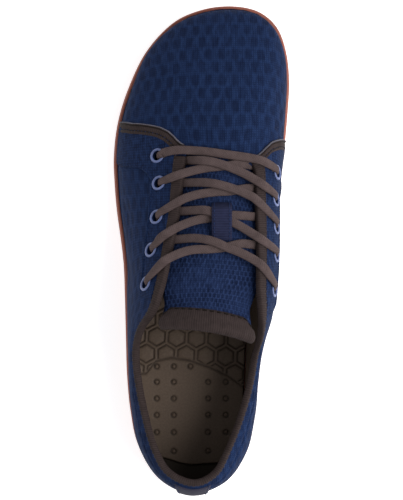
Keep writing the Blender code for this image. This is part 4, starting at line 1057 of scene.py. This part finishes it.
def stitch_tree():
    """Stitches laid end to end along a line on the cloth."""
    found = bpy.data.node_groups.get("stitch_row")
    if found:
        return found
    tree, given, output = start_tree("stitch_row", "Spacing", "Length", "Width")
    line = node(tree, "GeometryNodeMeshToCurve", {0: given["Geometry"]})
    spaced = node(tree, "GeometryNodeResampleCurve", {0: line, "Length": given["Spacing"]}, mode="LENGTH")
    bead = node(tree, "GeometryNodeMeshUVSphere", {"Segments": 8, "Rings": 5, "Radius": 0.5})
    size = node(tree, "ShaderNodeCombineXYZ", {0: given["Length"], 1: given["Width"], 2: given["Width"]})
    turn = facing(tree, node(tree, "GeometryNodeInputTangent"))
    return end_tree(tree, given, output, spaced, bead, Rotation=turn, Scale=size)


def dot_tree():
    """Low domes at points of the insole."""
    tree, given, output = start_tree("raised_dots", "Radius", "Height")
    dome = node(tree, "GeometryNodeMeshUVSphere", {"Segments": 12, "Rings": 7, "Radius": 1.0})
    size = node(tree, "ShaderNodeCombineXYZ", {0: given["Radius"], 1: given["Radius"], 2: given["Height"]})
    return end_tree(tree, given, output, given["Geometry"], dome, Scale=size)


def eyelet_tree():
    """Coated rings set in the cloth at each eyelet."""
    tree, given, output = start_tree("eyelet_rings", "Radius", "Band")
    circle = node(tree, "GeometryNodeCurvePrimitiveCircle", {"Resolution": 32, "Radius": given["Radius"]})
    half = node(tree, MATH, (given["Band"], 0.5), operation="MULTIPLY")
    section = node(tree, "GeometryNodeCurvePrimitiveCircle", {"Resolution": 10, "Radius": half})
    ring = node(tree, "GeometryNodeCurveToMesh", {"Curve": circle, "Profile Curve": section})
    flat = node(tree, "GeometryNodeTransform", {0: ring, "Scale": (1.0, 1.0, 0.75)})
    level = node(tree, "GeometryNodeInputNamedAttribute", {"Name": "level"}, data_type="FLOAT_VECTOR")
    return end_tree(tree, given, output, given["Geometry"], flat, Rotation=facing(tree, level))


def grow(name, tree, points, values, edges=(), **directions):
    """Plain mesh that a node tree makes on points in millimetres, with its inputs set by name."""
    mesh = bpy.data.meshes.new(name)
    mesh.from_pydata(((np.asarray(points, float) - ORIGIN) * MM).tolist(), list(edges), [])
    for key, vectors in directions.items():
        layer = mesh.attributes.new(key, "FLOAT_VECTOR", "POINT")
        layer.data.foreach_set("vector", np.asarray(vectors, np.float32).ravel())
    obj = linked(name, mesh)
    modifier = obj.modifiers.new("Nodes", "NODES")
    modifier.node_group = tree
    for item in tree.interface.items_tree:
        if item.item_type == "SOCKET" and item.in_out == "INPUT" and item.name in values:
            modifier[item.identifier] = values[item.name]
    apply_modifiers(obj)
    if not obj.data.polygons:
        raise RuntimeError(f"{name} has no faces")
    return obj


def sew(name, finish, slot, lines, pitch, width):
    """Stitches along lines, each given as points and outward directions."""
    sizes = bpy.context.scene.shoe_sizes
    points, out, edges = [], [], []
    for line, normals in lines:
        start = len(points)
        points.extend(line)
        out.extend(normals)
        edges += [(start + i, start + i + 1) for i in range(len(line) - 1)]
    values = {"Spacing": sizes.stitch_pitch * pitch, "Length": sizes.stitch_length * pitch}
    values |= {"Width": width * MM, "Finish": surface(finish)}
    obj = grow(name, stitch_tree(), points, values, edges, out=out)
    place_piece(obj, slot)


def on_wall(stations, rises, out):
    """Line on the upper as points and outward directions."""
    return skin(stations, rises, out), wall_normal(stations, rises)


class SHOE_OT_tongue(bpy.types.Operator):
    """Padded mesh tongue with the ribbed band and stitches at its top"""

    bl_idname = "shoe.tongue"
    bl_label = "Tongue"

    def execute(self, context):
        along, across = np.linspace(0, 1, 90)[:, None], np.linspace(-1, 1, 41)
        thick = TONGUE * np.sqrt(np.maximum(0.04, 1 - np.abs(across) ** 8))
        puff = TONGUE_PUFF * np.sin(np.pi * along) * np.cos(3.5 * np.pi * across) ** 2 * (1 - across**4)
        top = tongue_at(along, across, -puff)
        low = tongue_at(along, across[::-1], thick[::-1])
        points = np.concatenate((top, low), axis=1)
        sideways = np.concatenate((across, across[::-1])) * TONGUE_HALF
        lengthways = walked(top[:, len(across) // 2])[:, None]
        uv = np.dstack(np.broadcast_arrays(sideways, lengthways))
        obj = shape("tongue_pad", points, ["navy_tongue_mesh"], uv)
        place_piece(obj, "navy_mesh", "tongue")
        self.band()
        return {"FINISHED"}

    def band(self):
        """Tape folded over the tongue's top, with rounded corners."""
        across = np.linspace(-1, 1, 61)
        shares = np.linspace(1, 0.7, 80)
        back = walked(tongue_face(shares, across[:, None]))
        corners = 1 - BAND_CORNER_CUT * np.maximum(0, np.abs(across) - BAND_CORNER) / (1 - BAND_CORNER)
        lines = zip(TONGUE_BAND * corners, back)
        starts = np.array([np.interp(reach, line, shares) for reach, line in lines])
        end = unit(tongue_face(1.0, across) - tongue_face(0.985, across))

        def rows(table):
            return [tongue_at(mix(starts, 1.0, share), across, down) for share, down in table]

        rings = rows(zip(np.linspace(0, 1, len(BAND_OVER)), BAND_OVER))
        half = (BAND_UNDER[0] - BAND_OVER[-1]) / 2
        for turn in np.linspace(0, np.pi, 9)[1:-1]:
            rounded = tongue_at(1.0, across, BAND_OVER[-1] + half * (1 - math.cos(turn)))
            rings.append(rounded + end * BAND_FOLD * math.sin(turn))
        rings += rows(zip(np.linspace(1, 0, len(BAND_UNDER)), BAND_UNDER))
        points = np.stack(rings, axis=1)
        obj = shape("tongue_top_band", points, ["brown_grosgrain"], tape_uv(points, 8))
        place_piece(obj, "brown_tape", "tongue_band")
        seam, across = mix(starts, 1.0, BAND_SEAM)[2:-2], across[2:-2]
        line = tongue_at(seam, across, -BAND_SEAM_HEIGHT), tongue_normal(seam, across)
        sew("tongue_stitches", "dark_thread", "brown_tape", [line], 1.5, 0.9)


class SHOE_OT_binding(bpy.types.Operator):
    """Ribbed tape rolled over the throat and collar edge"""

    bl_idname = "shoe.binding"
    bl_label = "Binding"

    def execute(self, context):
        first = STATION["throat_medial"] - 0.5 - COUNT
        stations = np.linspace(first, STATION["eyelet1_lateral"], 300)
        flap = np.interp(stations, *zip(*BINDING_FLAP))
        turns = np.linspace(0.1, np.pi - 0.1, 9)
        roll = [(-ROLL * math.sin(turn), mix(*ROLL_ENDS, (1 - math.cos(turn)) / 2)) for turn in turns]
        section = [*BINDING_OUTER, *roll, *BINDING_INNER]
        lines = [below_top(stations, down * flap if out > 0 < down else down, out) for down, out in section]
        points = np.stack(lines, axis=1)
        obj = shape("collar_binding", points, ["brown_grosgrain"], tape_uv(points, 5))
        place_piece(obj, "brown_tape", "topline_binding")
        line = on_wall(stations, rise_below_top(stations, BINDING_SEAM * flap), BINDING_SEAM_HEIGHT)
        sew("binding_stitches", "brown_thread", "brown_tape", [line], 1.0, 0.6)
        return {"FINISHED"}


def front_place(side, rise, along):
    """Station of a point of the quarter tape: along runs -1 to 1 from its rear to its front edge."""
    station = table_at(FRONT_EDGE[side], rise)
    step = 0.1 / np.linalg.norm(wall(station + 0.05, rise) - wall(station - 0.05, rise), axis=-1)
    ahead = 1 if side == "lateral" else -1
    return station + ahead * along * TAPE_HALF * step


class SHOE_OT_quarter_tapes(bpy.types.Operator):
    """Folded tapes on the front edge of both quarters, each with its fold and stitches"""

    bl_idname = "shoe.quarter_tapes"
    bl_label = "Quarter Tapes"

    def execute(self, context):
        rises = np.linspace(0.1, 0.96, 70)
        finish = ["brown_grosgrain", "dark_thread", "grey_piping"]
        strips = np.zeros(len(TAPE_SECTION), int)
        # Faces in the groove get the dark thread colour as painted shade, those on the front of the fold a
        # grey painted highlight
        strips[9:11], strips[12:14] = 1, 2
        painted = np.concatenate((np.tile(strips, len(rises) - 1), (0, 0)))
        for side in FRONT_EDGE:
            lines = [skin(front_place(side, rises, place), rises, out) for place, out in TAPE_SECTION]
            points = np.stack(lines, axis=1)
            obj = shape(f"quarter_trim_{side}", points, finish, tape_uv(points, 7), painted)
            place_piece(obj, "brown_tape", f"quarter_tape_{side}")
            line = on_wall(front_place(side, rises, TAPE_SEAM), rises, TAPE_SEAM_HEIGHT)
            sew(f"quarter_stitches_{side}", "dark_thread", "brown_tape", [line], 1.0, 0.7)
        return {"FINISHED"}


class SHOE_OT_eyestays(bpy.types.Operator):
    """Panels that carry the eyelets, and the rings set in them"""

    bl_idname = "shoe.eyestays"
    bl_label = "Eyestays and Eyelets"

    def execute(self, context):
        for side in EYELETS:
            self.panel(side)
        frames = [eyelet_frames(side) for side in EYELETS]
        middles, out, level, _ = (np.vstack(parts) for parts in zip(*frames))
        sizes = context.scene.shoe_sizes
        values = {"Radius": sizes.eyelet_radius, "Band": sizes.eyelet_band}
        values["Finish"] = surface("coated_eyelet")
        middles = middles + out * EYELET_PROUD
        rings = grow("eyelet_rings", eyelet_tree(), middles, values, out=out, level=level)
        nodes = [f"eyelet_{side}_{row}" for side in EYELETS for row in range(1, 6)]
        place_piece(rings, "blue_grey_eyelet", *nodes)
        return {"FINISHED"}

    def grid(self, side, places, depths):
        """Stations and rises: places run 0 to 1 from the rear end to the quarter tape, depths 0 to 1 down."""
        rear, front = EYESTAY_ENDS[side]
        station = mix(rear, front, places)[:, None]
        longest = walked(wall(station, np.linspace(1, RISE_LIP + 0.04, 40)))[:, -1:]
        low = np.minimum(table_at(EYESTAY_DEPTH[side], station), 0.98 * longest)
        rise = rise_below_top(station, mix(EYESTAY_TOP, low, depths))
        shift = (table_at(FRONT_EDGE[side], rise) - front) * places[:, None] ** 3
        return station + shift, rise

    def panel(self, side):
        places = np.linspace(0, 1, 150)
        depths = np.concatenate((np.linspace(0, 0.84, 20), np.linspace(0.86, 1, 14)))
        station, rise = self.grid(side, places, depths)
        bevel = np.clip((1 - depths) / EYESTAY_BEVEL, 0, 1)
        welt = WELT * np.exp(-(((depths - WELT_PLACE) / WELT_HALF) ** 2))
        thinned = np.clip(places / EYESTAY_FADE, 0, 1)[:, None]
        outer = skin(station, rise, EYESTAY_EDGE + thinned * (EYESTAY_PROUD + welt) * bevel)
        inner = skin(station, rise, EYESTAY_BACK)
        points = np.concatenate((outer, inner[:, ::-1]), axis=1)
        uv = cloth_uv(station, walked(outer))
        uv = np.concatenate((uv, uv[:, ::-1]), axis=1)
        obj = shape(f"eyestay_panel_{side}", points, ["navy_knit_panel"], uv)
        cut(obj, eyelet_cutter(side))
        place_piece(obj, "navy_panel", f"eyestay_{side}")
        seam = self.grid(side, np.linspace(0.07, 0.93, 120), np.array((EYESTAY_SEAM,)))
        line = on_wall(*(part[:, 0] for part in seam), EYESTAY_PROUD)
        sew(f"eyestay_stitches_{side}", "navy_thread", "navy_panel", [line], 1.0, 0.6)


class SHOE_OT_heel_strip(bpy.types.Operator):
    """Webbing strip up the back of the heel"""

    bl_idname = "shoe.heel_strip"
    bl_label = "Heel Strip"

    def execute(self, context):
        shares, levels = np.linspace(-1, 1, 25)[:, None], np.linspace(0, 1, 40)
        rise = mix(RISE_LIP + 0.03, rise_below_top(0.0, HEEL_STRIP_TOP), levels)
        step = 0.1 / np.linalg.norm(wall(0.05, levels) - wall(-0.05, levels), axis=-1)
        aside = HEEL_STRIP_HALF * step
        rounded = np.clip((1 - np.abs(shares)) / HEEL_STRIP_ROUND, 0, 1) ** 0.5
        proud = HEEL_STRIP_EDGE + HEEL_STRIP_GAIN * rounded
        outer = skin(shares * aside, rise, proud)
        inner = skin(shares * aside, rise, 0.1)
        points = np.concatenate((outer, inner[:, ::-1]), axis=1)
        reach = walked(outer)
        reach = np.concatenate((reach, reach[:, ::-1]), axis=1)
        uv = np.dstack(np.broadcast_arrays(reach, shares * HEEL_STRIP_HALF))
        obj = shape("heel_webbing", points, ["heel_webbing_weave"], uv)
        place_piece(obj, "navy_webbing", "heel_strip")
        seams = (-HEEL_STRIP_SEAM, HEEL_STRIP_SEAM)
        lines = [on_wall(share * aside, rise, HEEL_STITCH_HEIGHT) for share in seams]
        sew("heel_stitches", "navy_thread", "navy_webbing", lines, 1.0, 0.6)
        return {"FINISHED"}


def support_of(*names):
    """Search tree over the faces of pieces, in millimetres on the last."""
    points, faces = [], []
    for name in names:
        mesh = bpy.data.objects[name].data
        co = np.empty(len(mesh.vertices) * 3, np.float32)
        mesh.vertices.foreach_get("co", co)
        start = len(points)
        points.extend(co.reshape(-1, 3) / MM + ORIGIN)
        faces += [[start + index for index in polygon.vertices] for polygon in mesh.polygons]
    return BVHTree.FromPolygons([Vector(point) for point in points], faces)


def resting(tree, places, sides, width, clear):
    """Heights at which a band lies clear over what is under it, along places in plan."""
    heights = []
    for place, side in zip(places, sides):
        found = [np.nan]
        for share in (-0.5, -0.25, 0.0, 0.25, 0.5):
            x, y = place + side * width * share
            hit, normal, _, _ = tree.ray_cast(Vector((x, y, 200.0)), Vector((0, 0, -1)))
            if hit is not None:
                found.append(hit.z + clear / max(abs(normal.z), 0.45))
        heights.append(np.fmax.reduce(found))
    heights, order = np.array(heights), np.arange(len(heights))
    met = ~np.isnan(heights)
    return np.interp(order, order[met], heights[met])


def taut(places, heights):
    """Heights of a band pulled tight over a row of resting heights."""
    hull = []
    for point in zip(places, heights):
        while len(hull) > 1:
            (x0, z0), (x1, z1) = hull[-2:]
            if (x1 - x0) * (point[1] - z0) - (z1 - z0) * (point[0] - x0) < 0:
                break
            hull.pop()
        hull.append(point)
    return np.interp(places, *zip(*hull))


def band_shape(name, path, hints, widths, thicks, finish):
    """Flat oval band along a path in space; hints are the directions that its upper face looks in."""
    along = unit(np.gradient(path, axis=0))
    across = unit(np.cross(along, hints))
    up = np.cross(across, along)
    turns = np.linspace(0, 2 * np.pi, 16, endpoint=False)
    flat = np.sign(np.cos(turns)) * np.abs(np.cos(turns)) ** 0.75
    tall = np.sign(np.sin(turns)) * np.abs(np.sin(turns)) ** 0.8
    sideways = flat * widths[:, None] / 2
    upwards = tall * thicks[:, None] / 2
    points = path[:, None] + across[:, None] * sideways[..., None] + up[:, None] * upwards[..., None]
    uv = np.dstack(np.broadcast_arrays(walked(path)[:, None], sideways))
    return shape(name, points, [finish], uv)


class SHOE_OT_lace(bpy.types.Operator):
    """Flat lace through all ten eyelets: a front bar and four crossings, its ends inside at the top row"""

    bl_idname = "shoe.lace"
    bl_label = "Lace"

    def execute(self, context):
        under = support_of(*LACE_REST)
        self.strand("lace_front_bar", LACE_BAR, under, under, ("lateral", "medial"), 1)
        place_piece(bpy.data.objects["lace_front_bar"], "brown_lace", "lace_bar")
        for row in LACE_TO_LATERAL:
            made = []
            for side, routes in (("lateral", LACE_TO_LATERAL), ("medial", LACE_TO_MEDIAL)):
                name = f"lace_{row}_to_{side}"
                near, far = support_of("tongue_pad", *made), support_of(*LACE_REST, *made)
                self.strand(name, routes[row], near, far, (None, side), row)
                made = [name]
                piece = place_piece(bpy.data.objects[name], "brown_lace")
                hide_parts(f"lace_crossing_{row}")
        return {"FINISHED"}

    def into_eyelet(self, side, row, start):
        """Last points of a strand, the way its face looks there and its share of the full width."""
        middle, out, _, _ = (part[row - 1] for part in eyelet_frames(side))
        back = start - middle
        back = unit(back - out * (back @ out))
        dive = np.array(LACE_DIVE)[:, :, None]
        points = middle + back * dive[:, 0] + out * dive[:, 1]
        hints = unit(out * dive[:, 2] + back * dive[:, 3])
        return np.column_stack((points, hints, dive[:, 4]))

    def strand(self, name, route, near, far, sides, row):
        """One strand: from an eyelet or under the throat edge, over what is under it, into its eyelet."""
        sizes = bpy.context.scene.shoe_sizes
        width, thick = sizes.lace_width / MM, sizes.lace_thickness / MM
        plan = smooth_line(route, 1.5)
        along = unit(np.gradient(plan, axis=0))
        crossways = np.stack((-along[:, 1], along[:, 0]), axis=1)
        run = walked(plan)
        low, high = (resting(tree, plan, crossways, width, thick / 2 + LACE_CLEAR) for tree in (near, far))
        heights = np.where(run < run[-1] * LACE_NEAR, low, high) if sides[0] is None else high
        path = np.column_stack((plan, taut(run, heights)))[::3]
        rows = np.column_stack((path, np.tile((0.0, 0.0, 1.0, 1.0), (len(path), 1))))
        if sides[0]:
            head = self.into_eyelet(sides[0], row, path[0])[::-1]
        else:
            head = rows[:1].copy()
            head[0, :3] -= np.append(along[0] * LACE_TUCK, LACE_TUCK_DOWN)
        joined = smooth_line(np.vstack((head, rows, self.into_eyelet(sides[1], row, path[-1]))), 1.2)
        share = np.clip(joined[:, 6], LACE_NARROW, 1.0)
        bunched = mix(LACE_BUNCHED, 1.0, (share - LACE_NARROW) / (1 - LACE_NARROW))
        return band_shape(name, joined[:, :3], unit(joined[:, 3:6]), width * share, thick * bunched,
                          "brown_lace_braid")


class SHOE_OT_lace_loop(bpy.types.Operator):
    """Webbing loop that keeps the tongue under the lace"""

    bl_idname = "shoe.lace_loop"
    bl_label = "Lace Loop"

    def execute(self, context):
        strands = [f"lace_{row}_to_{side}" for row in (3, 4) for side in EYELETS]
        plan = np.column_stack((np.full(40, LOOP_CENTRE_X), np.linspace(LOOP_FRONT, LOOP_REAR, 40)))
        side = np.tile((1.0, 0.0), (len(plan), 1))
        half = LOOP_THICKNESS / 2
        heights = resting(support_of("tongue_pad", *strands), plan, side, LOOP_WIDTH * 0.9, half + LACE_CLEAR)
        ends = resting(support_of("tongue_pad"), plan, side, LOOP_WIDTH * 0.5, half)
        heights[:4], heights[-4:] = ends[:4], ends[-4:]
        path = smooth_line(np.column_stack((plan, taut(walked(plan), heights)))[::3], 0.8)
        hints = np.tile((0.0, 0.0, 1.0), (len(path), 1))
        full = np.ones(len(path))
        widths, thicks = LOOP_WIDTH * full, LOOP_THICKNESS * full
        obj = band_shape("lace_keeper", path, hints, widths, thicks, "woven_webbing")
        place_piece(obj, "navy_webbing", "lace_loop")
        up = np.cross((1.0, 0.0, 0.0), unit(np.gradient(path, axis=0)))
        up = unit(up * np.sign(up[:, 2:]))
        lines = [(path + up * half + (place, 0.0, 0.0), up) for place in (-LOOP_SEAM, LOOP_SEAM)]
        sew("loop_stitches", "navy_thread", "navy_webbing", lines, 0.9, 0.6)
        return {"FINISHED"}


class SHOE_OT_stage(bpy.types.Operator):
    """Pale floor, soft studio light and the camera straight above the shoe"""

    bl_idname = "shoe.stage"
    bl_label = "Stage"

    def execute(self, context):
        scene = context.scene
        scene.view_settings.view_transform = "Standard"
        bm = bmesh.new()
        bmesh.ops.create_grid(bm, x_segments=1, y_segments=1, size=3.0)
        mesh = bpy.data.meshes.new("floor")
        bm.to_mesh(mesh)
        bm.free()
        made, _, shader = start_surface("pale_floor", 0.9)
        shader.inputs["Base Color"].default_value = (0.96, 0.96, 0.96, 1.0)
        shader.inputs["Emission Color"].default_value = (1.0, 1.0, 1.0, 1.0)
        shader.inputs["Emission Strength"].default_value = FLOOR_GLOW
        mesh.materials.append(made)
        linked("floor", mesh)
        world = bpy.data.worlds.new("studio")
        world.use_nodes = True
        sky = world.node_tree.nodes["Background"].inputs
        sky["Color"].default_value = (0.95, 0.97, 1.0, 1.0)
        sky["Strength"].default_value = SKY
        scene.world = world
        for name, (place, size, power) in LAMPS.items():
            light = bpy.data.lights.new(name, "AREA")
            light.size = size
            light.energy = power
            lamp = linked(name, light)
            lamp.location = place
            lamp.rotation_euler = (-Vector(place)).to_track_quat("-Z", "Y").to_euler()
        lens = bpy.data.cameras.new("camera")
        lens.sensor_fit = "VERTICAL"
        lens.angle = 2 * math.atan(SHOWN / 2 / CAMERA_HEIGHT)
        lens.clip_start = 0.05
        scene.camera = linked("camera", lens)
        scene.camera.location = (0.0, 0.0, CAMERA_HEIGHT)
        return {"FINISHED"}


OPERATORS = (
    SHOE_OT_stage, SHOE_OT_sole, SHOE_OT_insole, SHOE_OT_upper, SHOE_OT_tongue, SHOE_OT_binding,
    SHOE_OT_quarter_tapes, SHOE_OT_eyestays, SHOE_OT_heel_strip, SHOE_OT_lace, SHOE_OT_lace_loop,
)


class SHOE_PT_pieces(bpy.types.Panel):
    """Lists the sizes, colours and pieces of the shoe"""

    bl_idname = "SHOE_PT_pieces"
    bl_label = "Water Shoe"
    bl_space_type = "VIEW_3D"
    bl_region_type = "UI"
    bl_category = "Shoe"

    def draw(self, context):
        for group in (context.scene.shoe_sizes, context.scene.shoe_colours):
            box = self.layout.box()
            for key in group.__annotations__:
                box.prop(group, key)
        for operator in OPERATORS:
            self.layout.operator(operator.bl_idname)


CLASSES = (ShoeSizes, ShoeColours, *OPERATORS, SHOE_PT_pieces)


def register():
    for item in CLASSES:
        bpy.utils.register_class(item)
    bpy.types.Scene.shoe_sizes = PointerProperty(type=ShoeSizes)
    bpy.types.Scene.shoe_colours = PointerProperty(type=ShoeColours)


def unregister():
    del bpy.types.Scene.shoe_colours
    del bpy.types.Scene.shoe_sizes
    for item in reversed(CLASSES):
        bpy.utils.unregister_class(item)


def main():
    register()
    bpy.ops.shoe.stage()
    bpy.ops.shoe.sole()
    bpy.ops.shoe.insole()
    bpy.ops.shoe.upper()
    bpy.ops.shoe.tongue()
    bpy.ops.shoe.binding()
    bpy.ops.shoe.quarter_tapes()
    bpy.ops.shoe.eyestays()
    bpy.ops.shoe.heel_strip()
    bpy.ops.shoe.lace()
    bpy.ops.shoe.lace_loop()


if __name__ == "__main__":
    main()
